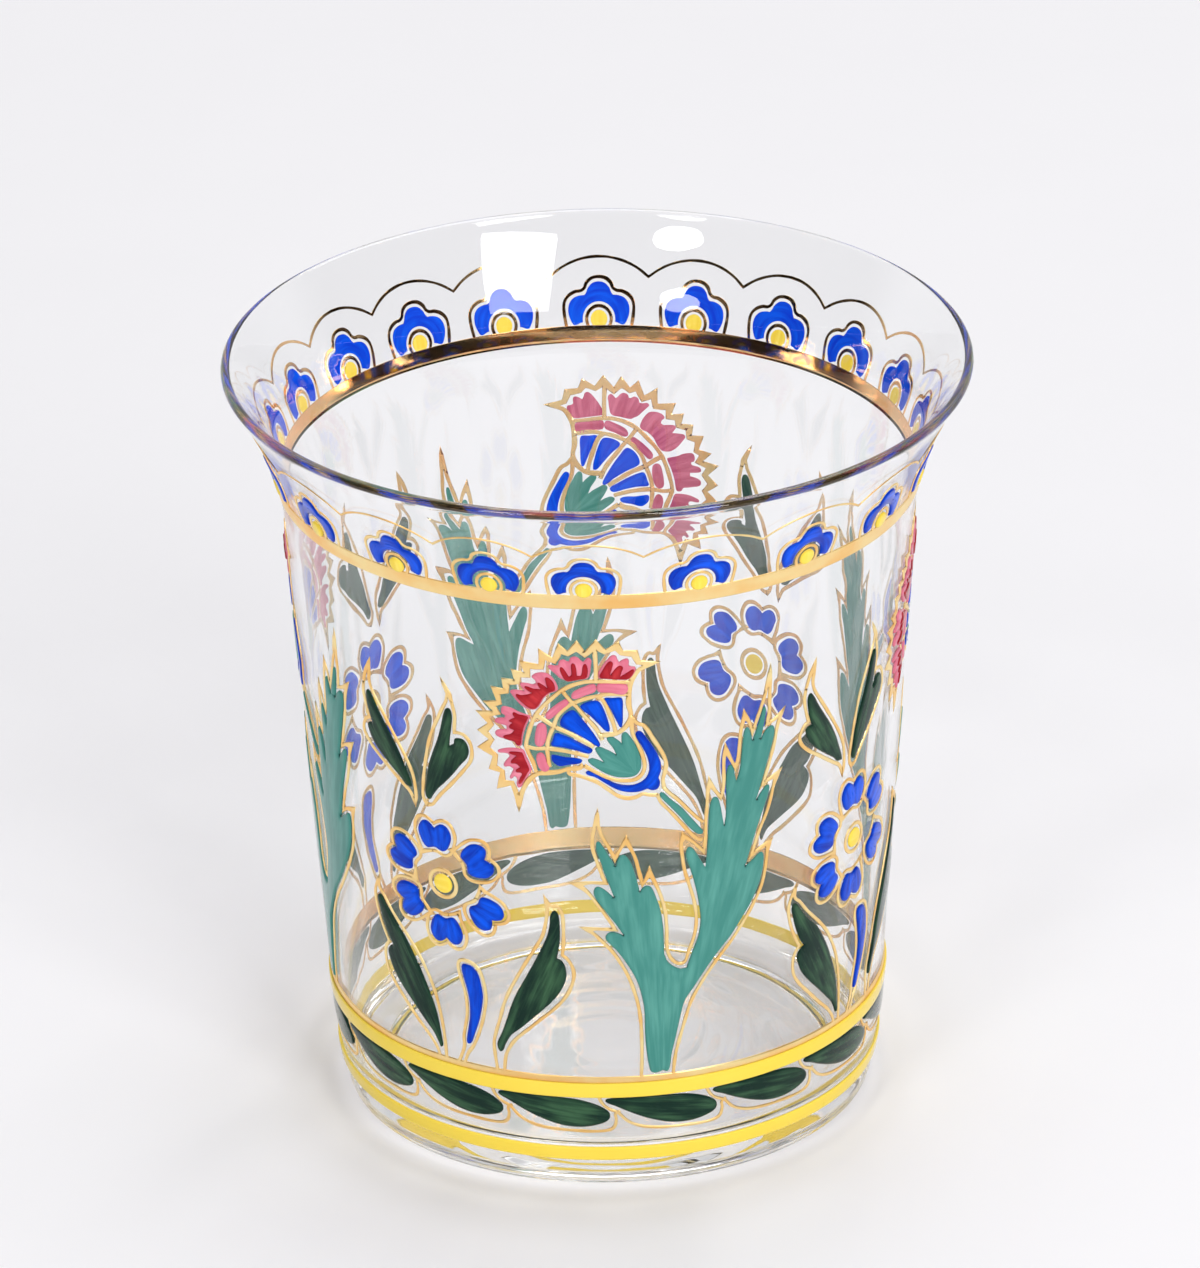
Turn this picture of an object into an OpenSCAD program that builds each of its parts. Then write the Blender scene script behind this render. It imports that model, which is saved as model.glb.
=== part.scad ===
// Footless tea glass with a flared rim: one blown body under fired gilding and raised enamel.
// The spray of the pattern stands four times round the wall, between a gilt rim band and a yellow base band.
// Every painted shape is drawn flat, as an arc length and a height, and is then laid on the wall.

/* [Glass] */
// Diameter over the lip
rim_d = 75; // [72:0.5:79]
// Height from the foot to the top of the lip
glass_h = 79.2; // [76:0.1:84]
// Diameter of the foot where it stands
foot_d = 53; // [50:0.5:55]
// How far the heel swells out over the foot
heel_swell = 0.9; // [0.5:0.1:1.4]
// Height at which the rounding of the heel ends
heel_h = 10; // [8.5:0.1:10.4]
// Height at which the flare begins
neck_h = 62; // [60:0.5:65]
// Diameter where the flare begins
neck_d = 63.1; // [61:0.1:65]
// Thickness of the wall
wall_t = 1.1; // [0.9:0.05:1.6]
// Thickness of the fire-polished lip
lip_t = 1.3; // [1.2:0.05:1.6]
// Height over which the lip swells out of the wall
lip_h = 2; // [1.5:0.1:3]
// Thickness of the floor
floor_t = 3.2; // [2.4:0.1:5]
// Radius inside, between floor and wall
floor_round = 5; // [3:0.5:7]
// Depth of the hollow under the floor
foot_hollow = 0.5; // [0.2:0.1:1]
// Width of the ring that the glass stands on
foot_ring_w = 3.5; // [2:0.5:6]

/* [Gilding] */
// Thickness of the gold
gilt_t = 0.1; // [0.06:0.01:0.14]
// Width of the gilt outlines
gilt_line_w = 0.34; // [0.26:0.02:0.38]
// Width of the fine gilt lines near the rim
fine_line_w = 0.26; // [0.2:0.02:0.3]
// Width of the gilt rim band
rim_band_w = 1.7; // [1.2:0.1:2.2]
// Distance from the top of the lip down to the rim band
rim_band_drop = 11; // [10.6:0.1:11.6]
// Height of the lower edge of the base band
base_band_h = 10.6; // [10.5:0.1:11.5]
// Width of the gilt base band
base_band_w = 2.4; // [2:0.1:3]

/* [Enamel] */
// Thickness of one coat of enamel
enamel_t = 0.25; // [0.16:0.01:0.3]
// Thickness of the red laid over the pink
second_coat_t = 0.15; // [0.1:0.01:0.2]
// Width of the yellow on the base band
base_yellow_w = 1.7; // [1:0.1:1.9]
// Height of the lower edge of the yellow foot band
foot_band_h = 3.1; // [2.5:0.1:3.6]
// Width of the yellow foot band
foot_band_w = 1.6; // [1:0.1:2.2]

/* [Rim florets] */
// Width of the blue of a floret
floret_w = 6.4; // [5.6:0.1:6.8]
// Height of the blue of a floret
floret_h = 4.2; // [3.6:0.1:4.6]
// Clear glass between a floret and its gilt line
floret_gap = 0.35; // [0.25:0.05:0.45]
// Radius of the yellow dot in a floret
floret_dot_r = 0.88; // [0.7:0.02:0.95]
// Height of the dot's middle over the rim band
floret_dot_rise = 0.6; // [0.4:0.05:0.8]
// Clear glass between the dot and its gilt arch
floret_arch_gap = 0.3; // [0.2:0.05:0.35]
// Height of the scallop points over the rim band
scallop_rise = 4.7; // [4.6:0.1:5.2]
// Height of a scallop's arch over its points
scallop_arch = 1.8; // [1.2:0.1:2.2]

/* [Rosette] */
// Distance from the middle of the rosette to the middle of a petal
rosette_r = 5.3; // [5.1:0.1:5.6]
// Width of a rosette petal
petal_w = 3.9; // [3.4:0.1:4]
// Length of a rosette petal
petal_h = 3.1; // [2.7:0.1:3.3]
// Clear glass between a petal and its gilt line
petal_gap = 0.24; // [0.15:0.01:0.3]
// Radius of the yellow dot in the rosette
rosette_dot_r = 1.08; // [0.9:0.02:1.2]
// Radius to the middle of the gilt ring round the dot
rosette_ring_r = 1.55; // [1.5:0.01:1.7]
// Width of the gilt ring round the dot
rosette_ring_w = 0.45; // [0.3:0.01:0.5]
// Height of the field that these sizes are drawn for, and that they then grow and shrink with
rosette_field_h = 53.5; // [52:0.5:55]

/* [Garland] */
// How far a garland leaf reaches past the start of the next
garland_lap = 0.55; // [0.3:0.05:0.7]
// Height of a garland leaf
garland_leaf_h = 3.5; // [3:0.1:3.7]
// Clear glass between the garland and the base band
garland_gap = 0.1; // [0.05:0.01:0.2]

/* [Hidden] */

// Counts and turns of the pattern
spray_count = 4;
spray_turn = -7.5;
garland_count = 16;
garland_turn = 10.8;
floret_turns = [-58, -37.5, -19.5, -3, 17, 38, 57.5, 76.5, 95, 111,
    128, 145, 162, 179.5, 197, 214, 231, 248, 264, 283];

// Outlines in hundredths of a width and a height, taken clockwise. A third value of 1 marks a sharp
// corner, and one of 2 the tip of a flame, which only the outer edge of a gilt line runs out to.

// Forked saz leaf, and the gilt line round it
saz_mid_share = 75;
saz_leaf_shares = [
    [67.4, 1], [66.6, 5.5], [66.3, 9.7], [66.2, 14], [65.9, 16.1], [65, 19.5], [64, 21.8], [62.3, 24.6],
    [60.4, 27.2], [58.6, 29], [57.9, 30.1], [58.5, 31.2], [59.9, 31.4], [61.8, 30.6, 1],
    [60.4, 32.7], [58.5, 35.2], [56.5, 37.8], [55.6, 39.5], [55.8, 40.8], [56.6, 41.2], [58, 40.5],
    [59.9, 38.8, 1], [59, 41.2], [57.9, 44], [57.1, 46.6], [56.3, 49], [56.3, 50.4], [56.8, 50.9],
    [57.5, 50.2], [58.9, 48], [60.3, 45.5, 1], [61, 47.4], [61.9, 47.9], [62.8, 47.4], [63.8, 45.7],
    [64.7, 42.9], [65.4, 39.8, 1], [65.9, 40.5], [66.9, 41], [67.9, 40.5], [68.8, 38.6], [69.8, 35.7],
    [70.4, 32.3], [70.6, 28.9], [70.7, 25.9, 1], [71.5, 24.2], [72.9, 23], [74.2, 22.4], [75.6, 22.4, 1],
    [76.8, 25.5], [78.2, 28.9], [78.7, 32.3], [78.3, 35.7], [77.5, 39.5], [76.2, 43.7], [75.4, 45.7],
    [75.3, 47.4], [76, 48.3], [77.1, 47.6], [78.5, 45.3], [79.7, 43.4, 1], [80.1, 49.4], [80.2, 53.5],
    [80.4, 55.9], [80.8, 57.5], [81.5, 58], [82.3, 57.6], [82.9, 55.9], [83.4, 53.5], [83.8, 51.6, 1],
    [84.1, 53.5], [84.1, 57.5], [84, 62], [84.3, 63.6], [84.9, 64.2], [85.6, 63.6], [86, 62],
    [86.4, 60.5, 1], [87.1, 62.8], [87.4, 66.1], [87.7, 69.7], [88.1, 71], [88.7, 71.3], [89.3, 70.5],
    [89.9, 68.3, 1], [90.8, 70.5], [91.7, 73], [92.3, 74.6], [92.8, 74.6], [92.9, 73.3], [92.5, 70.9],
    [91.9, 68.1, 1], [92.8, 69.5], [93.9, 70.3], [94.9, 70.1], [95.2, 68.9], [94.7, 66.5], [93.6, 62.8],
    [92.5, 59.4], [91.2, 55.4, 1], [92.5, 57], [93.6, 57.9], [94.3, 57.7], [94.2, 56.3], [93.2, 53.5],
    [91.7, 49.8], [90.3, 45.7], [88.9, 41.7, 1], [90.8, 42.9], [92.2, 43.8], [93.1, 43.8],
    [93.5, 42.7], [93.3, 40.3], [92.3, 36.9], [90.4, 33.5], [88.2, 30.6], [85.8, 27.6], [82.4, 24.2],
    [79.6, 20.9], [77.2, 17.8], [75.8, 16.1], [75.1, 14.8], [74.1, 11], [73.2, 7.2], [72.5, 4.6],
    [71.9, 1], [71.2, 0.4], [70.4, 0.7], [69.3, 0.4], [68.1, 0.4]];
saz_gilt_shares = [
    [65.4, -1], [65.6, 3.4], [65.6, 7.6], [65.4, 11.9], [64.8, 15.7], [63.6, 19.6], [62.6, 22],
    [60.9, 25], [59.1, 27.5], [57, 29.6], [55.5, 31], [53.4, 32.2, 2], [56.2, 32.1], [60, 31.9, 1],
    [59.4, 33], [57.7, 35.5], [55.6, 38.4], [54.2, 40.1], [51.5, 41.7, 2], [54.6, 42], [58.2, 41.9, 1],
    [57.4, 43.9], [56.4, 46.6], [55.6, 49.4], [55.6, 51.8], [56.1, 54, 2], [56.7, 56.9, 2],
    [56.8, 54, 2], [57.6, 51.9], [58.9, 49.6], [60.2, 47, 1], [61, 48.5], [61.7, 49.6], [62.6, 51.2, 2],
    [63.4, 49.4], [64.5, 47], [65.3, 43.9], [66, 41.3, 1], [66.7, 42.3], [67.5, 44.2, 2], [68.6, 41.6],
    [69.9, 38.5], [70.8, 35.2], [71.2, 31.4], [71.3, 27], [72.2, 24.8], [73.9, 23.5], [75.3, 23.8],
    [76, 25.6], [77.3, 28.9], [77.8, 32.3], [77.3, 36.3], [76.2, 39.9], [75.1, 43.3], [74.5, 47],
    [74.3, 49.2], [74.6, 51.1, 2], [76.4, 49.6], [78.2, 47.9], [79.2, 46.8, 1], [79.6, 49.4],
    [79.7, 53.5], [79.9, 56.3], [80, 59.2], [80.3, 61.8, 2], [81.5, 59.5], [82.9, 57.7, 1],
    [83.5, 59.6], [83.5, 63.4], [83.5, 65.9], [83.8, 68.1, 2], [84.8, 65.8], [86.1, 63.2, 1],
    [86.7, 65.2], [87, 68.5], [87.3, 71.5], [87.9, 74.4, 2], [89, 72.4], [89.9, 69.9, 1], [90.7, 72],
    [91.7, 74.6], [92.6, 77.2, 1], [93.7, 82.5, 2], [93.8, 79.4, 2], [93.7, 76.6, 2], [93.8, 74],
    [93.3, 70.8, 1], [94.9, 71.3], [97.2, 72.8, 2], [95.9, 69.9], [95.3, 66.6], [94.2, 62.8],
    [93.2, 59.8], [92.5, 58, 1], [93.7, 58.8], [96.7, 60, 2], [95.4, 57.4], [94.8, 54.9], [93.9, 52.2],
    [92.4, 49.2], [91, 45.7], [90.3, 43.6, 1], [92, 44.6], [95.1, 45.7, 2], [94.3, 43.2], [94, 40.3],
    [93.1, 36.7], [91.1, 33.1], [88.8, 29.9], [86.2, 26.7], [82.8, 23.2], [80, 19.9], [77.8, 16.8],
    [76.5, 14.4], [75.3, 10.8], [74.1, 7], [73.2, 3.6], [72.7, -1]];

// Carnation: stem, calyx, sepal, wedges of the fan, dashes, pink petals and their red tips
carnation_mid_share = 56;
carnation_stem_shares = [
    [69.9, 60.3], [70.3, 60.4], [71.8, 58.9], [74.1, 56.9], [76.3, 54.3], [78.4, 51.8], [78.9, 51.1],
    [78.5, 50.8], [77.8, 51], [76, 52.7], [74.1, 55.1], [71.8, 57.7], [70.1, 59.6]];
calyx_shares = [
    [55.2, 68], [55.8, 68.4], [56.9, 68.1], [58, 67.6], [59.2, 66.8, 1], [57.8, 68.6], [56.9, 70],
    [56.8, 70.6], [57.4, 70.8], [58.8, 70.2], [59.9, 69.6], [61.1, 68.8, 1], [60.4, 70.6], [59.3, 72.1],
    [59.2, 72.8], [59.9, 72.9], [61.1, 72.1], [62.2, 71, 1], [62.1, 72.6], [62.2, 73.5], [62.8, 73.7],
    [63.8, 72.4], [65, 70.2], [65.7, 67.7], [65.6, 66], [64.6, 64.8], [62.9, 64.5], [60.6, 64.7],
    [58.4, 65.6], [56.5, 66.8]];
sepal_shares = [
    [54.5, 65.5], [55.1, 65.9], [56.4, 65.4], [58.3, 64.4], [60.6, 63.2], [62.9, 62.7], [64.7, 62.8],
    [66.4, 63.6], [67.3, 64.9], [67.5, 66.5], [67, 68.6], [65.8, 71], [64.9, 72.6], [64.8, 73.6],
    [65.4, 74], [66.1, 73.7], [67.5, 71.8], [69, 69.4], [69.9, 67.1], [70, 65.3], [69.5, 63.8, 1],
    [69.8, 62.6], [69.3, 61.5], [68.2, 61.2], [67.1, 61.6, 1], [65.2, 61.1], [62.9, 61.2], [60.6, 61.9],
    [58.3, 63.3], [56.4, 64.5], [54.9, 65]];
wedge_shares = [
    [[58.7, 81.2], [60.3, 81.2], [61.9, 81.2], [62.3, 80.5], [62.3, 78.7], [62.2, 75.7], [61.8, 74.9],
        [61.1, 75.9], [59.8, 78.7], [58.8, 80.5]],
    [[53.7, 79.3], [54.6, 80.2], [56.4, 80.7], [57.5, 80.5], [58.4, 79], [59.2, 76.7], [59.6, 74.3],
        [58.8, 74.2], [57.6, 75.4], [55.6, 77.5]],
    [[49.5, 75.7], [49.9, 77], [51, 78.2], [52.4, 78.6], [53.7, 77.3], [55.5, 75], [57.3, 72.2],
        [57.6, 71.2], [57, 71], [55.1, 72.3], [52.3, 73.9], [50, 75]],
    [[48.1, 72.9], [48.5, 73.6], [49.2, 73.7], [51.8, 72.7], [54.5, 71.3], [56, 70.4], [55.8, 69.7],
        [55, 69.5], [52.8, 70.1], [50, 70.7], [47.9, 70.9], [47.5, 71.3], [47.8, 72]],
    [[47.9, 69.1], [50.5, 68.7], [52.5, 68.6], [53.8, 68.2], [53.7, 67.6], [53, 67.3], [51.4, 67.1],
        [49.3, 66.7], [48.2, 67.2], [47.6, 67.9], [47.5, 68.8]]];
dash_shares = [
    [[52.3, 81.7], [52.8, 82.4], [55, 83.5], [56.4, 83.9], [56.7, 83.4], [56.5, 82.7], [54.6, 82],
        [53, 81.3], [52.4, 81.3]],
    [[57.7, 84], [60.6, 84], [62.8, 83.7], [63.1, 82.9], [62.4, 82.1], [59.7, 82.6], [57.7, 82.7],
        [57.4, 83.3]],
    [[47, 77], [47.1, 77.7], [48.6, 79.1], [50.4, 80.4], [50.9, 80.6], [51.1, 80.1], [50, 79.1],
        [48, 77.2], [47.4, 76.8]],
    [[45.2, 75.1], [45.8, 75.4], [46.4, 75], [46.5, 73.4], [46, 71.6], [45.4, 70.9], [44.7, 71.1],
        [44.6, 72.3], [44.8, 73.8]],
    [[44.8, 68.6], [45.4, 69.1], [45.9, 68.7], [46.4, 67.3], [46.8, 66.3], [46.3, 65.7], [45.5, 65.9],
        [44.9, 67]]];
pink_petal_shares = [
    [[57.5, 85.3, 1], [57.4, 86.4], [58, 87.6], [59.2, 89.2], [60.2, 90.1], [61, 90], [61.3, 89.3],
        [61.6, 88.7, 1], [62.5, 89.2], [63.3, 89.3], [63.6, 88.8], [63.6, 87.9], [64.2, 87.6, 1],
        [64.8, 87.5], [64.9, 86.7], [64.2, 85.5], [63.3, 84.9], [62, 84.9], [59.7, 85.1]],
    [[50.7, 84.9, 1], [49.8, 85.3], [48.8, 86.2], [47.9, 87], [47.4, 87.6], [47.9, 88], [48.8, 87.9],
        [49.5, 88, 1], [49.7, 88.8], [50.1, 89.1], [50.7, 89.2], [51.3, 88.9], [51.7, 88.9, 1], [52, 89.6],
        [52.8, 89.9], [53.5, 89.7], [54, 89.2], [54.5, 88.8, 1], [55.3, 89.6], [55.8, 89.6],
        [56.2, 89], [56.1, 88.2], [55.9, 86.6], [55.4, 85.4], [53.7, 85], [51.4, 84.6]],
    [[49.4, 83], [49.2, 83.9], [48.6, 85], [47.5, 86.1], [46.3, 86.3], [45.1, 86.1], [44.4, 85.7],
        [44.1, 85.2], [44.7, 84.6], [44.9, 84, 1], [44.3, 83.7], [43.3, 83.8], [42, 83.8], [41.6, 83.5],
        [41.9, 82.9], [42.4, 82.2, 1], [40.9, 82.2], [39.9, 82.1], [39.5, 81.7], [39.7, 81.3],
        [40.4, 80.4], [41.3, 79.4], [42.4, 78.6], [43.4, 78.3], [44.6, 78.4], [45.5, 79.2],
        [46.5, 80.9], [47.8, 82], [49, 82.5]],
    [[43.5, 77, 1], [41.2, 77.6], [40.1, 78.1], [38.9, 78.4], [37.9, 78.4], [37.4, 77.8], [37.5, 76.9],
        [38.2, 76.5], [38, 76, 1], [36.6, 75.8], [36, 75.4], [36, 74.9], [36.8, 74.6], [38.4, 74.4, 1],
        [38.4, 73.7, 1], [36.8, 73.4], [36, 72.9], [36, 72.2], [36.6, 71.8], [37.5, 71.6], [38.9, 71.3],
        [39.9, 71.1], [40.3, 70.5], [41, 70.3], [41.5, 70.6], [41.9, 72.6], [42.6, 74.7],
        [43.5, 76.6]],
    [[41.5, 69.8], [38.9, 69.8], [37, 69.3], [36.3, 68.9], [36.5, 68.5], [38.4, 68.5], [38.8, 68, 1],
        [37.8, 66.8], [37.4, 66], [37.8, 65.6], [38.7, 65.8], [39.5, 65.4, 1], [38.9, 64.2],
        [38.6, 63.5], [39, 63.2], [39.8, 63.8], [40.2, 63.2, 1], [40, 62.2], [40.3, 61.6], [40.9, 61.6],
        [41.7, 62.9], [42.9, 64.6], [43.4, 65.6], [43.1, 66.6], [42.5, 68], [42, 69.4]]];
red_tip_shares = [
    [[57.7, 85.7], [58.2, 87.1], [59.2, 88.7], [59.9, 89.1], [60.4, 88.7], [60.3, 87.8],
        [59.9, 86.4, 1], [61.2, 87.9], [61.9, 88.1], [62.4, 87.6], [62.1, 86.7], [61.9, 85.9, 1],
        [63.3, 86.7], [64.3, 87.2], [64.6, 86.7], [63.9, 85.5], [63.2, 85.1], [62, 85.1], [59.7, 85.3]],
    [[50.4, 85.7], [49.9, 87], [50, 87.8], [50.6, 87.6], [51.7, 85.9, 1], [52.1, 86.3], [52.1, 88.3],
        [52.6, 88.7], [53.1, 88], [53.3, 86.1, 1], [54, 86.2], [54.4, 88.1], [54.9, 88.6], [55.3, 88.2],
        [55.5, 86.8], [55.1, 85.6], [53.7, 85.2], [51.4, 84.8], [50.8, 85.1]],
    [[48.9, 83.3], [48.5, 84.6], [47.5, 85.5], [46.9, 85.4], [46.9, 84.7], [47.2, 83.4, 1], [46.3, 84],
        [45.4, 84.3], [45.3, 83.8], [45.8, 83, 1], [44.5, 83], [42.9, 83.4], [42.6, 83.1], [43, 82.6],
        [44, 82, 1], [43.3, 81.7], [41.9, 81.4], [40.9, 81.5], [40.8, 81], [41.5, 80.2], [43.5, 78.7],
        [44.6, 78.7], [45.4, 79.4], [46.4, 81.1], [47.6, 82.2], [48.7, 82.7]],
    [[43.1, 76.9], [41.2, 77.3], [40.2, 77.6], [39.9, 77.2], [40.3, 76.5, 1], [39.4, 76],
        [39.1, 75.6], [39.8, 75.3, 1], [39.2, 74.8], [39.1, 74.2], [40.1, 73.8, 1], [39.4, 73],
        [37.9, 72.4], [37.8, 71.9], [38.9, 71.5], [39.9, 71.4], [40.4, 70.8], [41, 70.6], [41.4, 70.9],
        [41.7, 72.6], [42.3, 74.7], [43.1, 76.4]],
    [[41.5, 69.3], [39.2, 69.2], [38.8, 68.8], [40.3, 68.4, 1], [39.2, 67.3], [39.2, 66.7],
        [40.2, 66.7], [41, 66.1, 1], [40.1, 65.4], [40.2, 64.9], [41.3, 64.8], [40.9, 63.8],
        [40.5, 62.7], [40.9, 62.4], [41.7, 63.3], [42.6, 64.9], [43, 65.6], [42.8, 66.5], [42.2, 67.9],
        [41.8, 69]]];
// The gilt zigzag round the fan, taken the other way from its right end
zigzag_shares = [
    [57.2, 73.2], [61, 73.6], [63.2, 75.3], [64, 77.2], [63.6, 79.6], [63.7, 82.3], [64.1, 84.4],
    [65.4, 86.5], [66.6, 87.2], [68.7, 88, 2], [67, 88.2], [65.5, 88.5, 1], [65, 90.6, 2],
    [62.2, 90.6, 1], [61.4, 92.4, 2], [58.8, 90.9, 1], [57.1, 93, 2], [54.9, 90.4, 1], [53.3, 92.6, 2],
    [51.5, 90.5, 1], [49.8, 92, 2], [48.7, 88.9, 1], [46, 90.6, 2], [46, 87.5, 1], [42.2, 88, 2],
    [43.2, 85.5, 1], [40.4, 86, 2], [41, 83.9, 1], [38.2, 84, 2], [38.6, 81.7, 1], [36, 81.9, 2],
    [37, 79.1, 1], [34.4, 78.7, 2], [36.4, 76.9, 1], [32.7, 76.4, 2], [35, 74.3, 1], [32.6, 72.6, 2],
    [35, 71, 1], [32.5, 69, 2], [35.6, 67.7, 1], [34.6, 64.9, 2], [37, 64.5, 1], [36.2, 61.2, 2],
    [39, 62.2, 1], [39.6, 60.6], [40.3, 57.2, 2], [41.3, 60.7], [42.7, 63.1], [44.6, 64.7], [46.6, 65],
    [49, 65.4], [51, 66.1], [53, 66.3], [54.2, 67]];
// The other gilt lines of the fan: two arcs, the spokes, and the lines round calyx, sepal and stem
inner_arc_shares = [
    [47.1, 66.4], [46.9, 68.6], [46.8, 70.5], [47.2, 72.6], [48.2, 75], [49.2, 77.4], [50.8, 79.1],
    [52.4, 80.1], [54.6, 81], [57.2, 81.6], [60, 82], [63.6, 81.7]];
outer_arc_shares = [
    [44.3, 65], [43.8, 67], [42.9, 69], [42.4, 70.6], [43, 73.2], [43.9, 75.7], [44.9, 77.6],
    [46.3, 79.3], [48.2, 81.1], [50.1, 82.7], [52.4, 83.9], [55, 84.6], [57, 84.7], [60, 84.5],
    [64, 84.3]];
spoke_shares = [
    [[56.8, 91.6], [57, 88], [57, 84.7]],
    [[57, 81.6], [58.4, 80.6], [59.6, 77.8], [60.5, 75.2], [60.8, 73.6]],
    [[50.1, 82.7], [51.6, 80.8], [53, 79.3], [54.6, 77.4], [56.8, 74.8], [58.1, 72.3]],
    [[44.2, 77.4], [46, 76.5], [48.4, 75], [51.6, 73.6], [54.4, 72], [56.4, 70.9]],
    [[42.4, 70.4], [44.4, 70.1], [46.8, 70.3], [50, 70], [53, 69.4], [55.2, 68.8]]];
calyx_line_shares = [
    [54.2, 67], [56, 65.9], [58, 64.8], [60.4, 63.9], [62.7, 63.6], [64.7, 63.8], [66, 64.8],
    [66.6, 66.4], [66.2, 68.7], [65.2, 71.2], [64.3, 73.2], [64, 75], [64, 77.2]];
sepal_line_shares = [
    [[69.3, 60.1], [67.4, 60.3], [66.2, 60.6], [64.7, 60], [62.8, 59.9], [61, 60.5], [59.2, 61.8],
        [56.9, 63.4], [55, 64.2], [53, 64.8], [51.2, 65.2], [51, 66.1]],
    [[64.2, 76.6], [65.2, 75.6], [66.6, 74.9], [68.4, 72], [70.2, 69], [71, 66.8], [70.8, 64.9],
        [70.4, 63.4], [70.6, 61.6]]];
stem_line_shares = [
    [[70.4, 61.8], [71.4, 60.6], [73.4, 58.8], [76, 56], [78.2, 53.8], [79.2, 53.1]],
    [[79, 49.4], [78.1, 49.6], [76.2, 51.3], [74.1, 53.8], [71.8, 56.5], [69.9, 58.6], [69.2, 60.3]]];

// Rosette: its middle in the field, and one heart-shaped petal in shares of its width and length
rosette_mid_share = 21.5;
rosette_rise_share = 37.8;
petal_shares = [
    [0, 30, 1], [10, 42], [25, 50], [41, 40], [50, 12], [45, -18], [34, -42], [22, -50], [0, -42],
    [-22, -50], [-34, -42], [-45, -18], [-50, 12], [-41, 40], [-25, 50], [-10, 42]];
petal_gilt_shares = [
    [0, 36, 1], [11, 45], [25, 50], [41, 41], [50, 12], [46, -18], [36, -42], [22, -50], [0, -43],
    [-20, -49], [-38, -60, 2], [-40, -38], [-46, -18], [-50, 12], [-41, 41], [-25, 50], [-11, 45]];
// Place and lean of each petal of the rosette, as turns from straight up
petal_turns = [[-7, 0], [50, 66], [117, 134], [180, 178], [236, 250], [294, 292]];

// Leaves above and below the rosette, the bud between the lower ones, and their gilt lines
upper_mid_share = 17;
upper_leaf_shares = [
    [[14.4, 56.7], [13.5, 56.9], [12.4, 57.9], [10.3, 59.3], [7.8, 61], [5.6, 62.7], [4.2, 64.4],
        [3.5, 66], [3.4, 66.8], [4, 67.3], [5, 67.5, 1], [4.5, 68.5], [4, 70.3], [3.6, 72.6],
        [3.8, 73.8], [4.4, 74.2], [5.2, 73.6], [6.6, 71.4], [8.4, 68.9], [10.5, 66.1], [12.6, 62.7],
        [14, 59.7], [14.9, 57.7], [15, 56.8]],
    [[19.1, 55.4], [18.6, 56.2], [18.6, 57.3], [19.2, 60], [19.9, 62.8], [21.2, 65.9], [22.6, 69],
        [23.7, 72.2], [24.4, 74.6], [25, 75.7], [25.8, 75.9], [26.3, 75.2], [26.4, 74], [26, 71.5],
        [25.6, 69.7], [25.4, 68, 1], [26.4, 68.7], [26.6, 69.6], [27.6, 70], [28.8, 69.8],
        [29.6, 68.8], [29.8, 67.4], [29.2, 65.9], [27.8, 64.4], [25.7, 61.9], [23.6, 59.7], [21.8, 58],
        [20.4, 56.2], [19.8, 55.4]]];
upper_gilt_shares = [
    [[15.6, 53.6, 1], [14.4, 55.7], [12.4, 57], [10.2, 58.4], [7.6, 60.1], [4.8, 61.9], [2.8, 63.6],
        [1.9, 65.2], [2.2, 66.7], [3.2, 67.9], [4.2, 68.3, 1], [3.4, 70.4], [2.9, 72.4], [2.8, 74],
        [3.3, 76.2], [4.1, 78.4, 2], [5.4, 80.5, 2], [5.1, 78.2, 2], [4.9, 76.4], [5.5, 74.5],
        [7.5, 71.7], [9.7, 68.7], [12, 65.5], [14.1, 62.4], [15.4, 59.9], [15.9, 57.4], [16, 55]],
    [[18.9, 53.9, 2], [18.2, 54.8], [17.9, 56], [18.1, 57.8], [18.5, 60.3], [19.2, 63.4], [19.9, 66.2],
        [20.6, 68.4], [21.7, 70.9], [23, 73.3], [24.2, 75.6], [25.2, 77.4], [25.7, 79, 2],
        [24.6, 81.3, 2], [26.2, 78.8, 2], [26.6, 76.8], [27, 74.6], [26.8, 72.4], [26.7, 71, 1],
        [27.6, 71.1], [29, 70.8], [30.2, 69.4], [30.5, 67.4], [30, 65.5], [28.5, 63.5], [26.3, 61],
        [24.2, 58.8], [22.3, 56.9], [20.9, 55.2], [20.2, 54.4]]];
lower_mid_shares = [10, 41];
lower_leaf_shares = [
    [[17.9, 1.6], [17.3, 2.6], [16.1, 4.4], [13.9, 6.4], [10.8, 9.2], [7.6, 12], [5.3, 14.5],
        [3.9, 17.2], [3.7, 18.8], [4.5, 19.8], [5.6, 20.3, 1], [4.4, 21.7], [3, 24.5], [1.9, 27.6],
        [1.5, 29.2], [1.9, 30], [2.8, 30.1], [3.9, 29], [5.6, 26.9], [7.4, 25.2], [9.6, 23.2],
        [11.9, 20], [13.7, 17.1], [15.5, 13.5], [16.9, 10.3], [17.7, 7.4], [18.3, 3.5], [18.4, 2.1]],
    [[33.4, 3.8], [32.8, 4.5], [32.7, 5.7], [33.9, 8], [35.2, 11.1], [36.5, 14.4], [37.9, 17.2],
        [40.1, 20.8], [42, 24], [43.8, 27.3], [45.2, 30.1], [45.9, 32.7], [46.1, 34.6], [46.7, 35.6],
        [47.4, 35.7], [48, 34.7], [48.2, 31.8], [48, 28.6], [47.3, 25.5, 1], [48.4, 25], [49.2, 23.3],
        [49.2, 21.3], [48.2, 18.9], [46.4, 16.5], [44.2, 14.4], [41.4, 12], [38.6, 9.6], [36.1, 7.6],
        [34.7, 5.5], [34.1, 4.2]]];
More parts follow.
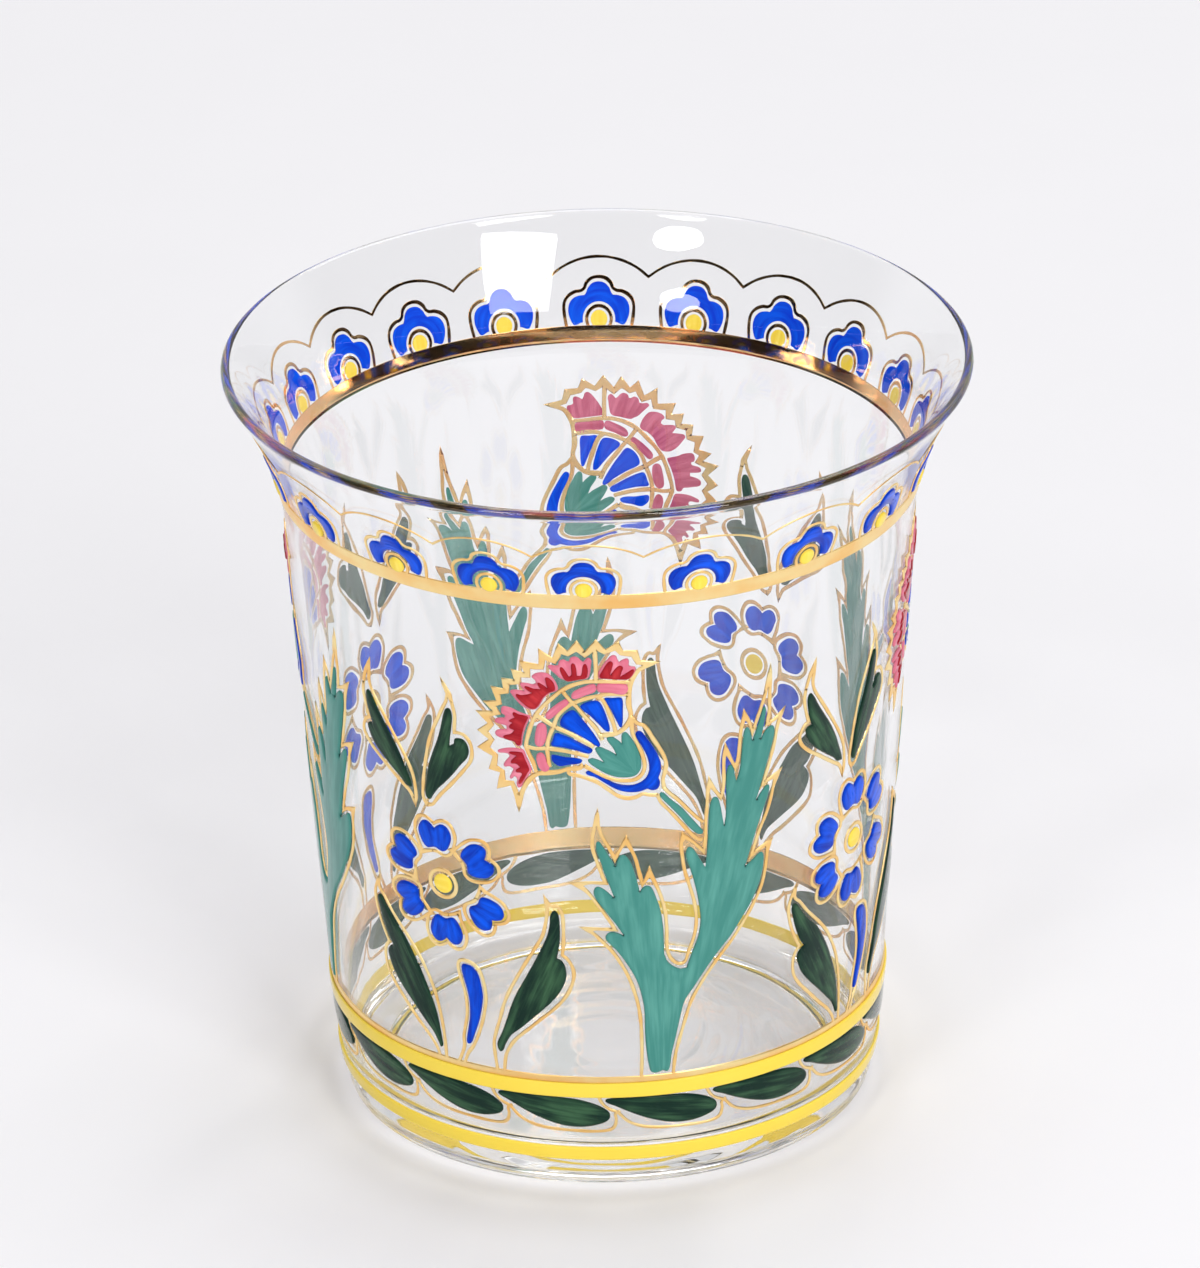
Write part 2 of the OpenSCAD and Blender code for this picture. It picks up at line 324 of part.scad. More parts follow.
lower_gilt_shares = [
    [[17.6, -1], [16.8, 1.1], [14.8, 3.4], [11.6, 6], [7.9, 9.3], [4.8, 12.2], [3, 14.6], [2.5, 16.9],
        [2.9, 19.1], [4.2, 20.6, 1], [3.3, 22], [1.9, 24.7], [0.9, 27.6], [0.7, 29.8], [1.1, 31.4],
        [2.4, 33.6, 2], [2.4, 31.4], [3.8, 30.2], [6, 27.7], [8, 25.8], [10.2, 23.8], [12.9, 21],
        [15.1, 17.8], [16.9, 14.3], [18, 10.7], [18.7, 7.1], [19.1, 3], [19.2, -1]],
    [[32.5, -1], [32, 3], [31.9, 5.6], [32.5, 7.8], [33.6, 10.8], [34.8, 14.4], [36.4, 17.7],
        [38.4, 21], [40.6, 24.4], [42.8, 27.7], [44.3, 30.2], [45.1, 33], [45.5, 35.6], [45.2, 38.1, 2],
        [46.4, 36.7], [47.7, 36.7], [48.7, 35.1], [48.9, 31.8], [48.8, 28.6], [48.5, 26.2, 1],
        [49.6, 25.4], [50.6, 23.8], [50.9, 21.9], [50.2, 19.4], [48.6, 16.8], [46, 14.2], [43, 11.8],
        [40.2, 9.5], [37.3, 7.1], [35.6, 5], [34.6, 3], [34, -1]]];
bud_mid_share = 27;
bud_shares = [
    [25.5, 4], [25, 4.5], [25.1, 5.5], [25.7, 7.9], [26.2, 10.3], [26.3, 13.6], [25.8, 16.4],
    [25.1, 18.8], [24.8, 20.6], [25.2, 21.3], [26.5, 21.4], [27.8, 21], [28.9, 19.7], [29.5, 17.6],
    [29.8, 15.2], [29.4, 12.7], [28.5, 9.5], [27.1, 6.2], [26.3, 4.5]];
bud_gilt_shares = [
    [22.2, -1], [23.4, 1.2], [24.3, 3.4], [24.3, 5.4], [24.9, 7.8], [25.5, 10.4], [25.6, 13.5],
    [25.1, 16.3], [24.3, 18.8], [24, 20.9], [24.7, 22], [26.5, 22.1], [28.2, 21.6], [29.5, 20.2],
    [30.2, 17.9], [30.5, 15.2], [30.1, 12.5], [29.2, 9.3], [27.8, 5.9], [26.5, 3.6], [25.2, 2],
    [23.8, -1]];

// One leaf of the garland and its gilt line, in shares of the leaf's length and height
garland_leaf_shares = [
    [0, 88], [2, 98], [20, 100], [50, 100], [69, 96], [84, 83], [94, 66], [99, 48], [98, 27], [89, 11],
    [74, 2], [57, 6], [39, 24], [24, 46], [9, 72]];
garland_line_shares = [
    [-6, 106], [-3, 84], [2, 66], [11, 50], [19, 22], [30, 3], [45, -7], [69, -11], [93, -11],
    [102, 0], [104.5, 26], [104, 46], [108, 56]];

// The right half of a floret and of its gilt line, from the top, in shares of their width and height
floret_half_shares = [
    [0, 100], [10, 96.5], [17, 86], [20, 76], [23, 70, 1], [32, 69], [42, 63], [48.5, 50], [50, 30],
    [45, 8], [40, 1], [30, 6], [12, 12]];
floret_line_half_shares = [
    [0, 100], [10, 97], [17, 88], [20, 78], [25, 72.5], [33, 71], [43, 63], [49, 50], [50, 30],
    [47, -6]];

// Steps of the curves
$fn = 96;
curve_steps = 3;
heel_steps = 8;
flare_steps = 8;
corner_steps = 6;
lip_steps = 10;
flare_power = 2.2;
miter_ratio = 3;
// How far a curve may run off its straight steps, in hundredths of the width of a gilt line
curve_slack_share = 15;
curve_slack = curve_slack_share / 100 * gilt_line_w;

// Colours
glass_colour = [0.86, 0.88, 0.92, 0.35];
gilt_colour = [0.98, 0.80, 0.52];
yellow_colour = [0.99, 0.88, 0.36];
blue_colour = [0.06, 0.26, 0.84];
teal_colour = [0.34, 0.62, 0.57];
green_colour = [0.17, 0.29, 0.24];
pink_colour = [0.92, 0.55, 0.64];
red_colour = [0.72, 0.20, 0.23];

// The wall: a straight taper, drawn in at the heel and thrown out above the neck
rim_r = rim_d / 2;
foot_r = foot_d / 2;
neck_r = neck_d / 2;
taper_foot_r = foot_r + heel_swell;
taper = (neck_r - taper_foot_r) / neck_h;
lip_r = lip_t / 2;
lip_z = glass_h - lip_r;
flare_out = rim_r - taper_foot_r - taper * lip_z;
// Lean of the wall at the lip
lip_lean = atan(taper + flare_out * flare_power / (lip_z - neck_h));
heel_zs = [for (k = [0:heel_steps]) heel_h * (1 - cos(90 * k / heel_steps))];
flare_zs = [for (k = [0:flare_steps]) neck_h + (lip_z - neck_h) * k / flare_steps];
wall_zs = concat(heel_zs, flare_zs);
wall_table = [for (z = wall_zs) [z, taper_foot_r + taper * z - heel_in(z) + flare_at(z)]];
paint_r = wall_r((base_band_h + neck_h) / 2);

// The field of the sprays, between the two bands
rim_band_top = glass_h - rim_band_drop;
rim_band_z = rim_band_top - rim_band_w;
base_band_top = base_band_h + base_band_w;
spray_w = 2 * PI * paint_r / spray_count;
spray_h = rim_band_z - base_band_top;

function heel_in(z) = z < heel_h ? heel_swell * (1 - sqrt(1 - pow(1 - z / heel_h, 2))) : 0;
function flare_at(z) = z > neck_h ? flare_out * pow((z - neck_h) / (lip_z - neck_h), flare_power) : 0;
function wall_r(z) = lookup(z, wall_table);

// A smooth line through points, with corners where they are marked
FLAME = 2;
function xy(p) = [p.x, p.y];
function unit(v) = v / norm(v);
function mark(p) = len(p) > 2 ? p[2] : 0;
function bend(b, c, m, n, t) = (2 * t * t * t - 3 * t * t + 1) * b + (t * t * t - 2 * t * t + t) * m
    + (3 * t * t - 2 * t * t * t) * c + (t * t * t - t * t) * n;
function smooth(pts, closed = true) =
    let (n = len(pts), last = closed ? n - 1 : n - 2)
    concat([for (i = [0:last]) let (
        b = xy(pts[i]),
        c = xy(pts[(i + 1) % n]),
        start = mark(pts[i]) > 0 || (!closed && i == 0) ? b : xy(pts[(i - 1 + n) % n]),
        end = mark(pts[(i + 1) % n]) > 0 || (!closed && i == last) ? c : xy(pts[(i + 2) % n]),
        span = norm(c - b),
        m = unit(c - start) * span,
        e = unit(end - b) * span)
        for (k = [0:curve_steps - 1]) bend(b, c, m, e, k / curve_steps)],
        closed ? [] : [xy(pts[n - 1])]);

// One edge of a line of half width d, to the left of the path where d is positive
function left(v) = [-v.y, v.x];
function edge(path, d, closed) = let (n = len(path)) [for (i = [0:n - 1]) let (
    here = path[i],
    before = closed || i > 0 ? path[(i - 1 + n) % n] : 2 * here - path[1],
    after = closed || i < n - 1 ? path[(i + 1) % n] : 2 * here - path[n - 2],
    m = left(unit(here - before)) + left(unit(after - here)))
    here + d * unit(m) * min(2 / norm(m), miter_ratio)];

// A line of width w along a path that runs clockwise, as one outline or as an outer and an inner one
function backward(list) = [for (i = [len(list) - 1:-1:0]) list[i]];
function no_flames(pts) = [for (p = pts) if (mark(p) < FLAME) p];
function ribbon(pts, w, closed = false) =
    let (outer = edge(smooth(pts, closed), w / 2, closed),
        inner = edge(smooth(no_flames(pts), closed), -w / 2, closed))
    closed ? [outer, inner] : [concat(outer, backward(inner))];

// Points worked out from shares of a width and a height, and points moved or turned, with their marks
function sized(pts, w, h, z = 0) = [for (p = pts) [p.x / 100 * w, z + p.y / 100 * h, mark(p)]];
function in_field(pts) = [for (p = sized(pts, spray_w, spray_h, base_band_top)) moved(p, [-spray_w / 2, 0])];
function moved(p, by) = [p.x + by.x, p.y + by.y, mark(p)];
function turned(p, a) = [p.x * cos(a) + p.y * sin(a), p.y * cos(a) - p.x * sin(a), mark(p)];

// Both halves of a shape given by its right half from the top, clockwise from the bottom left
function mirrored(right) = [for (i = [1 - len(right):len(right) - 1])
    [sign(i) * right[abs(i)].x, right[abs(i)].y, mark(right[abs(i)])]];

// A closed outline without the points that lie close to the straight line past them
function off_line(p, a, b) = abs(cross(b - a, p - a)) / norm(b - a);
function thinned(loop, i = 1, kept = []) =
    let (so_far = len(kept) > 0 ? kept : [loop[0]], n = len(loop))
    i == n ? so_far : thinned(loop, i + 1,
        off_line(loop[i], so_far[len(so_far) - 1], loop[(i + 1) % n]) > curve_slack
            ? concat(so_far, [loop[i]]) : so_far);

// Outlines for the wall, drawn as arcs at the radius arc_r and seen square at the given turn
module flat(outlines, turn = 0, arc_r = paint_r) {
    loops = [for (outline = outlines) thinned(outline)];
    degrees = 180 / (PI * arc_r);
    points = [for (loop = loops) for (p = loop) [wall_r(p.y) * sin(p.x * degrees - turn), p.y]];
    starts = [for (i = 0, at = 0; i < len(loops); at = at + len(loops[i]), i = i + 1) at];
    paths = [for (i = [0:len(loops) - 1]) [for (k = [0:len(loops[i]) - 1]) starts[i] + k]];
    polygon(points, paths);
}

// A round dot at a height, and a ring of a mean radius and a width
module dot(r, z) {
    translate([0, z]) circle(r);
}

module ring(r, z, w) {
    difference() {
        dot(r + w / 2, z);
        dot(r - w / 2, z);
    }
}

// A skin on the wall, from one height to another and between two distances from the glass
module skin(low, high, inner, outer) {
    zs = concat([low], [for (z = wall_zs) if (z > low && z < high) z], [high]);
    rotate_extrude() polygon(concat([for (z = zs) [wall_r(z) + inner, z]],
        backward([for (z = zs) [wall_r(z) + outer, z]])));
}

// Flat shapes laid on the wall
module laid(turn, low, high, inner, outer) {
    intersection() {
        skin(low, high, inner, outer);
        rotate([0, 0, turn]) rotate([90, 0, 0]) linear_extrude(rim_d) children();
    }
}

// Turn of the middle of a motif within its field
function field_turn(mid_share) = (mid_share / 100 - 1 / 2) * 360 / spray_count;

// A motif of the spray, laid on the wall once in each field
module sprays(mid_share, inner = 0, outer = enamel_t) {
    for (k = [0:spray_count - 1])
        laid(spray_turn + 360 / spray_count * k + field_turn(mid_share), base_band_top, rim_band_z,
            inner, outer) children();
}

// The glass: outer wall, round lip, inner wall, floor, and the hollow under it
module glass_body() {
    tangent_z = lip_z - lip_r * sin(lip_lean);
    outer = [for (z = wall_zs) if (z < tangent_z) [wall_r(z), z]];
    lip = [for (k = [0:lip_steps]) let (a = 180 * k / lip_steps - lip_lean)
        [rim_r - lip_r + lip_r * cos(a), lip_z + lip_r * sin(a)]];
    corner_z = floor_t + floor_round;
    inner = [for (z = backward(wall_zs)) if (z < glass_h - lip_h && z > corner_z) [wall_r(z) - wall_t, z]];
    corner_r = wall_r(corner_z) - wall_t - floor_round;
    corner = [for (k = [0:corner_steps]) let (a = 90 * k / corner_steps)
        [corner_r + floor_round * cos(a), corner_z - floor_round * sin(a)]];
    ring_r = foot_r - foot_ring_w;
    color(glass_colour) rotate_extrude()
        polygon(concat([[ring_r, 0]], outer, lip, inner, corner,
            [[0, floor_t], [0, foot_hollow], [ring_r - foot_hollow, foot_hollow]]));
}

// Gilt and yellow bands
module rim_gilt_band() {
    color(gilt_colour) skin(rim_band_z, rim_band_top, 0, gilt_t);
}

module base_gilt_band() {
    color(gilt_colour) skin(base_band_h, base_band_top, 0, gilt_t);
}

module base_yellow_band() {
    color(yellow_colour) skin(base_band_h, base_band_h + base_yellow_w, gilt_t, gilt_t + enamel_t);
}

module foot_yellow_band() {
    color(yellow_colour) skin(foot_band_h, foot_band_h + foot_band_w, 0, enamel_t);
}

// Florets and scallops under the lip
floret_dot_z = rim_band_top + floret_dot_rise;
floret_arc_r = wall_r(rim_band_top + floret_h / 2);
floret_arch_r = floret_dot_r + floret_arch_gap + fine_line_w / 2;

module florets(inner, outer) {
    for (turn = floret_turns)
        laid(turn, rim_band_top, glass_h, inner, outer) children();
}

module floret_petals() {
    outline = mirrored(sized(floret_half_shares, floret_w, floret_h, rim_band_top));
    color(blue_colour) florets(0, enamel_t) difference() {
        flat([smooth(outline)], 0, floret_arc_r);
        dot(floret_arch_r + fine_line_w / 2 + floret_arch_gap, floret_dot_z);
    }
}

module floret_dots() {
    color(yellow_colour) difference() {
        for (turn = floret_turns)
            laid(turn, rim_band_z, glass_h, 0, gilt_t + enamel_t) dot(floret_dot_r, floret_dot_z);
        rim_gilt_band();
    }
}

module floret_gilt_lines() {
    off = floret_gap + fine_line_w / 2;
    right = sized(floret_line_half_shares, floret_w + 2 * off, floret_h + off, rim_band_top);
    color(gilt_colour) florets(0, gilt_t) {
        flat(ribbon(mirrored(right), fine_line_w), 0, floret_arc_r);
        ring(floret_arch_r, floret_dot_z, fine_line_w);
    }
}

// One arch of the scallops, from point to point over a floret
module scallop(half_turn) {
    points_z = rim_band_top + scallop_rise;
    half_w = wall_r(points_z) * sin(half_turn);
    arch_r = (half_w * half_w + scallop_arch * scallop_arch) / (2 * scallop_arch);
    intersection() {
        ring(arch_r, points_z + scallop_arch - arch_r, fine_line_w);
        translate([-rim_r, points_z]) square([rim_d, glass_h - points_z]);
    }
}

module rim_scallop_line() {
    turns = concat(floret_turns, [floret_turns[0] + 360, floret_turns[1] + 360]);
    points = [for (i = [0:len(floret_turns)]) (turns[i] + turns[i + 1]) / 2];
    color(gilt_colour)
        for (i = [1:len(floret_turns)])
            laid((points[i - 1] + points[i]) / 2, rim_band_top, glass_h, 0, gilt_t)
                scallop((points[i] - points[i - 1]) / 2);
}

// Garland under the base band
garland_z = base_band_h - garland_gap - garland_leaf_h;
garland_arc_r = wall_r(garland_z + garland_leaf_h / 2);
garland_leaf_l = 2 * PI * garland_arc_r / garland_count + garland_lap;

module garland(inner, outer) {
    for (k = [0:garland_count - 1])
        laid(garland_turn + 360 / garland_count * k, foot_band_h + foot_band_w, base_band_h,
            inner, outer) children();
}
function garland_sized(pts) = [for (p = sized(pts, garland_leaf_l, garland_leaf_h, garland_z))
    moved(p, [-garland_leaf_l / 2, 0])];

module garland_leaves() {
    color(green_colour) garland(0, enamel_t)
        flat([smooth(garland_sized(garland_leaf_shares))], 0, garland_arc_r);
}

module garland_gilt_lines() {
    color(gilt_colour) garland(0, gilt_t)
        flat(ribbon(garland_sized(garland_line_shares), fine_line_w), 0, garland_arc_r);
}

// Shapes and lines of one motif of the spray
module field_shapes(outlines, mid_share, inner = 0, outer = enamel_t) {
    sprays(mid_share, inner, outer)
        for (outline = outlines) flat([smooth(in_field(outline))], field_turn(mid_share));
}

module field_lines(paths, mid_share, closed = false) {
    sprays(mid_share, 0, gilt_t)
        for (path = paths)
            flat(ribbon(in_field(path), gilt_line_w, closed), field_turn(mid_share));
}

// Forked saz leaf
module saz_leaves() {
    color(teal_colour) field_shapes([saz_leaf_shares], saz_mid_share);
}

module saz_gilt_lines() {
    color(gilt_colour) field_lines([saz_gilt_shares], saz_mid_share);
}

// Carnation
module carnation_stems() {
    color(teal_colour) field_shapes([carnation_stem_shares], carnation_mid_share);
}

module carnation_calyxes() {
    color(teal_colour) field_shapes([calyx_shares], carnation_mid_share);
}

module carnation_sepals() {
    color(blue_colour) field_shapes([sepal_shares], carnation_mid_share);
}

module carnation_wedges() {
    color(blue_colour) field_shapes(wedge_shares, carnation_mid_share);
}

module carnation_dashes() {
    color(pink_colour) field_shapes(dash_shares, carnation_mid_share);
}

module carnation_petals() {
    color(pink_colour) field_shapes(pink_petal_shares, carnation_mid_share);
}

module carnation_petal_tips() {
    color(red_colour)
        field_shapes(red_tip_shares, carnation_mid_share, enamel_t, enamel_t + second_coat_t);
}

module carnation_gilt_lines() {
    color(gilt_colour) field_lines(concat([backward(zigzag_shares), inner_arc_shares, outer_arc_shares,
        calyx_line_shares], spoke_shares, sepal_line_shares, stem_line_shares), carnation_mid_share);
}

// Rosette, fitted to the height of the field
function fitted(size) = size * spray_h / rosette_field_h;
rosette_turn = field_turn(rosette_mid_share);
rosette_z = base_band_top + rosette_rise_share / 100 * spray_h;
rosette_x = (rosette_mid_share / 100 - 1 / 2) * spray_w;

// A petal's outline at its place round the middle of the rosette
function petal_at(place, shares, over = 0) =
    let (middle = [rosette_x, rosette_z] + fitted(rosette_r) * [sin(place[0]), cos(place[0])])
    [for (p = sized(shares, fitted(petal_w) + 2 * over, fitted(petal_h) + 2 * over))
        moved(turned(p, place[1]), middle)];

module rosette_petals() {
    color(blue_colour) sprays(rosette_mid_share)
        for (place = petal_turns) flat([smooth(petal_at(place, petal_shares))], rosette_turn);
}

module rosette_dots() {
    color(yellow_colour) sprays(rosette_mid_share) dot(fitted(rosette_dot_r), rosette_z);
}

module rosette_gilt_lines() {
    over = petal_gap + gilt_line_w / 2;
    color(gilt_colour) sprays(rosette_mid_share, 0, gilt_t) {
        for (place = petal_turns)
            flat(ribbon(petal_at(place, petal_gilt_shares, over), gilt_line_w, true), rosette_turn);
        ring(fitted(rosette_ring_r), rosette_z, rosette_ring_w);
    }
}

// Leaves and bud
module upper_leaves() {
    color(green_colour) field_shapes(upper_leaf_shares, upper_mid_share);
}

module upper_leaf_gilt_lines() {
    color(gilt_colour) field_lines(upper_gilt_shares, upper_mid_share, true);
}

module lower_leaves() {
    color(green_colour) {
        field_shapes([lower_leaf_shares[0]], lower_mid_shares[0]);
        field_shapes([lower_leaf_shares[1]], lower_mid_shares[1]);
    }
}

module lower_leaf_gilt_lines() {
    color(gilt_colour) {
        field_lines([lower_gilt_shares[0]], lower_mid_shares[0]);
        field_lines([lower_gilt_shares[1]], lower_mid_shares[1]);
    }
}

module buds() {
    color(blue_colour) field_shapes([bud_shares], bud_mid_share);
}

module bud_gilt_lines() {
    color(gilt_colour) field_lines([bud_gilt_shares], bud_mid_share);
}

glass_body();
rim_gilt_band();
rim_scallop_line();
floret_petals();
floret_dots();
floret_gilt_lines();
base_gilt_band();
base_yellow_band();
foot_yellow_band();
garland_leaves();
garland_gilt_lines();
saz_leaves();
saz_gilt_lines();
carnation_stems();
carnation_calyxes();
carnation_sepals();
carnation_wedges();
carnation_dashes();
carnation_petals();
carnation_petal_tips();
carnation_gilt_lines();
rosette_petals();
rosette_dots();
rosette_gilt_lines();
upper_leaves();
upper_leaf_gilt_lines();
lower_leaves();
lower_leaf_gilt_lines();
buds();
bud_gilt_lines();
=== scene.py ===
# Enamelled tea glass: a clear blown body with fired gilding and raised enamel painted on its outside.
# Every painted shape is drawn flat, as an arc length and a height in millimetres, then bent onto the wall.
import math

import bmesh
import bpy
import numpy as np
from mathutils import Matrix, Vector
from mathutils.geometry import delaunay_2d_cdt


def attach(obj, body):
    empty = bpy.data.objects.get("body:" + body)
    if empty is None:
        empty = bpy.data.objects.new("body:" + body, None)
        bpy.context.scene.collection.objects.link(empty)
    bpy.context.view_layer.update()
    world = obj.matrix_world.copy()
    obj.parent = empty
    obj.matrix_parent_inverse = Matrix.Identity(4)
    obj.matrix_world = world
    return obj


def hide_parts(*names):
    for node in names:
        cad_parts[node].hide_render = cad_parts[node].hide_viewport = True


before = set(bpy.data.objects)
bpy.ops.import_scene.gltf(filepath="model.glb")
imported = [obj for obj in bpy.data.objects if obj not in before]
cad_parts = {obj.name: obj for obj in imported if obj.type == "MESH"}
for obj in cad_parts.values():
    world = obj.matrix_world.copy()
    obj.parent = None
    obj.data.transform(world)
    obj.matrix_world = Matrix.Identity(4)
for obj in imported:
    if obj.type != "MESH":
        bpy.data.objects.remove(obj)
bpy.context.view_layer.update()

MM = 0.001
ROUND = 2 * math.pi

# Sizes of the glass, in millimetres
RIM_R = 37.485
GLASS_H = 79.2
FOOT_R = 26.5
HEEL_SWELL = 0.9
HEEL_H = 10
NECK_H = 62
NECK_R = 31.55
WALL_T = 1.1
LIP_R = 0.65
FLOOR_T = 3.2
FLOOR_ROUND = 3
FOOT_HOLLOW = 0.12
FOOT_RING_W = 3.5
FLARE_POWER = 2.2

# Sizes of the gilding and the enamel, in millimetres
GILT_T = 0.1
GILT_LINE_W = 0.4
FINE_LINE_W = 0.35
SCALLOP_LINE_W = 0.26
RIM_BAND_W = 1.7
RIM_BAND_TOP = 68.2
BASE_BAND_H = 10.6
BASE_BAND_TOP = 13.0
ENAMEL_T = 0.25
SECOND_COAT_T = 0.15
BASE_YELLOW_W = 1.7
FOOT_BAND_H = 3.1
FOOT_BAND_W = 1.6
FLORET_W = 6.4
FLORET_H = 4.2
FLORET_GAP = 0.27
FLORET_DOT_R = 0.88
FLORET_DOT_RISE = 0.6
FLORET_ARCH_GAP = 0.24
SCALLOP_RISE = 4.7
SCALLOP_ARCH = 1.8
ROSETTE_R = 5.3
PETAL_W = 3.9
PETAL_H = 3.1
PETAL_GAP = 0.24
ROSETTE_DOT_R = 1.08
ROSETTE_RING_R = 1.55
ROSETTE_RING_W = 0.45
GARLAND_LAP = 0.55
GARLAND_LEAF_H = 3.5
GARLAND_GAP = 0.1

# Counts and turns of the pattern, in degrees
SPRAYS = 4
SPRAY_TURN = -7.5
GARLAND_LEAVES = 16
GARLAND_TURN = 10.8
FLORET_TURNS = [-58, -37.5, -19.5, -3, 17, 38, 57.5, 76.5, 95, 111,
    128, 145, 162, 179.5, 197, 214, 231, 248, 264, 283]

# Outlines in hundredths of a width and a height, taken clockwise. A third value of 1 marks a sharp
# corner, and one of 2 the tip of a flame, which only the outer edge of a gilt line runs out to.

# Forked saz leaf, and the gilt line round it
SAZ_LEAF = [
    [67.4, 1], [66.6, 5.5], [66.3, 9.7], [66.2, 14], [65.9, 16.1], [65, 19.5], [64, 21.8], [62.3, 24.6],
    [60.4, 27.2], [58.6, 29], [57.9, 30.1], [58.5, 31.2], [59.9, 31.4], [61.8, 30.6, 1],
    [60.4, 32.7], [58.5, 35.2], [56.5, 37.8], [55.6, 39.5], [55.8, 40.8], [56.6, 41.2], [58, 40.5],
    [59.9, 38.8, 1], [59, 41.2], [57.9, 44], [57.1, 46.6], [56.3, 49], [56.3, 50.4], [56.8, 50.9],
    [57.5, 50.2], [58.9, 48], [60.3, 45.5, 1], [61, 47.4], [61.9, 47.9], [62.8, 47.4], [63.8, 45.7],
    [64.7, 42.9], [65.4, 39.8, 1], [65.9, 40.5], [66.9, 41], [67.9, 40.5], [68.8, 38.6], [69.8, 35.7],
    [70.4, 32.3], [70.6, 28.9], [70.7, 25.9, 1], [71.5, 24.2], [72.9, 23], [74.2, 22.4], [75.6, 22.4, 1],
    [76.8, 25.5], [78.2, 28.9], [78.7, 32.3], [78.3, 35.7], [77.5, 39.5], [76.2, 43.7], [75.4, 45.7],
    [75.3, 47.4], [76, 48.3], [77.1, 47.6], [78.5, 45.3], [79.7, 43.4, 1], [80.1, 49.4], [80.2, 53.5],
    [80.4, 55.9], [80.8, 57.5], [81.5, 58], [82.3, 57.6], [82.9, 55.9], [83.4, 53.5], [83.8, 51.6, 1],
    [84.1, 53.5], [84.1, 57.5], [84, 62], [84.3, 63.6], [84.9, 64.2], [85.6, 63.6], [86, 62],
    [86.4, 60.5, 1], [87.1, 62.8], [87.4, 66.1], [87.7, 69.7], [88.1, 71], [88.7, 71.3], [89.3, 70.5],
    [89.9, 68.3, 1], [90.8, 70.5], [91.7, 73], [92.3, 74.6], [92.8, 74.6], [92.9, 73.3], [92.5, 70.9],
    [91.9, 68.1, 1], [92.8, 69.5], [93.9, 70.3], [94.9, 70.1], [95.2, 68.9], [94.7, 66.5], [93.6, 62.8],
    [92.5, 59.4], [91.2, 55.4, 1], [92.5, 57], [93.6, 57.9], [94.3, 57.7], [94.2, 56.3], [93.2, 53.5],
    [91.7, 49.8], [90.3, 45.7], [88.9, 41.7, 1], [90.8, 42.9], [92.2, 43.8], [93.1, 43.8],
    [93.5, 42.7], [93.3, 40.3], [92.3, 36.9], [90.4, 33.5], [88.2, 30.6], [85.8, 27.6], [82.4, 24.2],
    [79.6, 20.9], [77.2, 17.8], [75.8, 16.1], [75.1, 14.8], [74.1, 11], [73.2, 7.2], [72.5, 4.6],
    [71.9, 1], [71.2, 0.4], [70.4, 0.7], [69.3, 0.4], [68.1, 0.4]]
SAZ_FAN = [70, -22]    # its brush strokes run out from here
SAZ_GILT = [
    [65.4, -1], [65.6, 3.4], [65.6, 7.6], [65.4, 11.9], [64.8, 15.7], [63.6, 19.6], [62.6, 22],
    [60.9, 25], [59.1, 27.5], [57, 29.6], [55.5, 31], [53.4, 32.2, 2], [56.2, 32.1], [60, 31.9, 1],
    [59.4, 33], [57.7, 35.5], [55.6, 38.4], [54.2, 40.1], [51.5, 41.7, 2], [54.6, 42], [58.2, 41.9, 1],
    [57.4, 43.9], [56.4, 46.6], [55.6, 49.4], [55.6, 51.8], [56.1, 54, 2], [56.7, 56.9, 2],
    [56.8, 54, 2], [57.6, 51.9], [58.9, 49.6], [60.2, 47, 1], [61, 48.5], [61.7, 49.6], [62.6, 51.2, 2],
    [63.4, 49.4], [64.5, 47], [65.3, 43.9], [66, 41.3, 1], [66.7, 42.3], [67.5, 44.2, 2], [68.6, 41.6],
    [69.9, 38.5], [70.8, 35.2], [71.2, 31.4], [71.3, 27], [72.2, 24.8], [73.9, 23.5], [75.3, 23.8],
    [76, 25.6], [77.3, 28.9], [77.8, 32.3], [77.3, 36.3], [76.2, 39.9], [75.1, 43.3], [74.5, 47],
    [74.3, 49.2], [74.6, 51.1, 2], [76.4, 49.6], [78.2, 47.9], [79.2, 46.8, 1], [79.6, 49.4],
    [79.7, 53.5], [79.9, 56.3], [80, 59.2], [80.3, 61.8, 2], [81.5, 59.5], [82.9, 57.7, 1],
    [83.5, 59.6], [83.5, 63.4], [83.5, 65.9], [83.8, 68.1, 2], [84.8, 65.8], [86.1, 63.2, 1],
    [86.7, 65.2], [87, 68.5], [87.3, 71.5], [87.9, 74.4, 2], [89, 72.4], [89.9, 69.9, 1], [90.7, 72],
    [91.7, 74.6], [92.6, 77.2, 1], [93.7, 82.5, 2], [93.8, 79.4, 2], [93.7, 76.6, 2], [93.8, 74],
    [93.3, 70.8, 1], [94.9, 71.3], [97.2, 72.8, 2], [95.9, 69.9], [95.3, 66.6], [94.2, 62.8],
    [93.2, 59.8], [92.5, 58, 1], [93.7, 58.8], [96.7, 60, 2], [95.4, 57.4], [94.8, 54.9], [93.9, 52.2],
    [92.4, 49.2], [91, 45.7], [90.3, 43.6, 1], [92, 44.6], [95.1, 45.7, 2], [94.3, 43.2], [94, 40.3],
    [93.1, 36.7], [91.1, 33.1], [88.8, 29.9], [86.2, 26.7], [82.8, 23.2], [80, 19.9], [77.8, 16.8],
    [76.5, 14.4], [75.3, 10.8], [74.1, 7], [73.2, 3.6], [72.7, -1]]

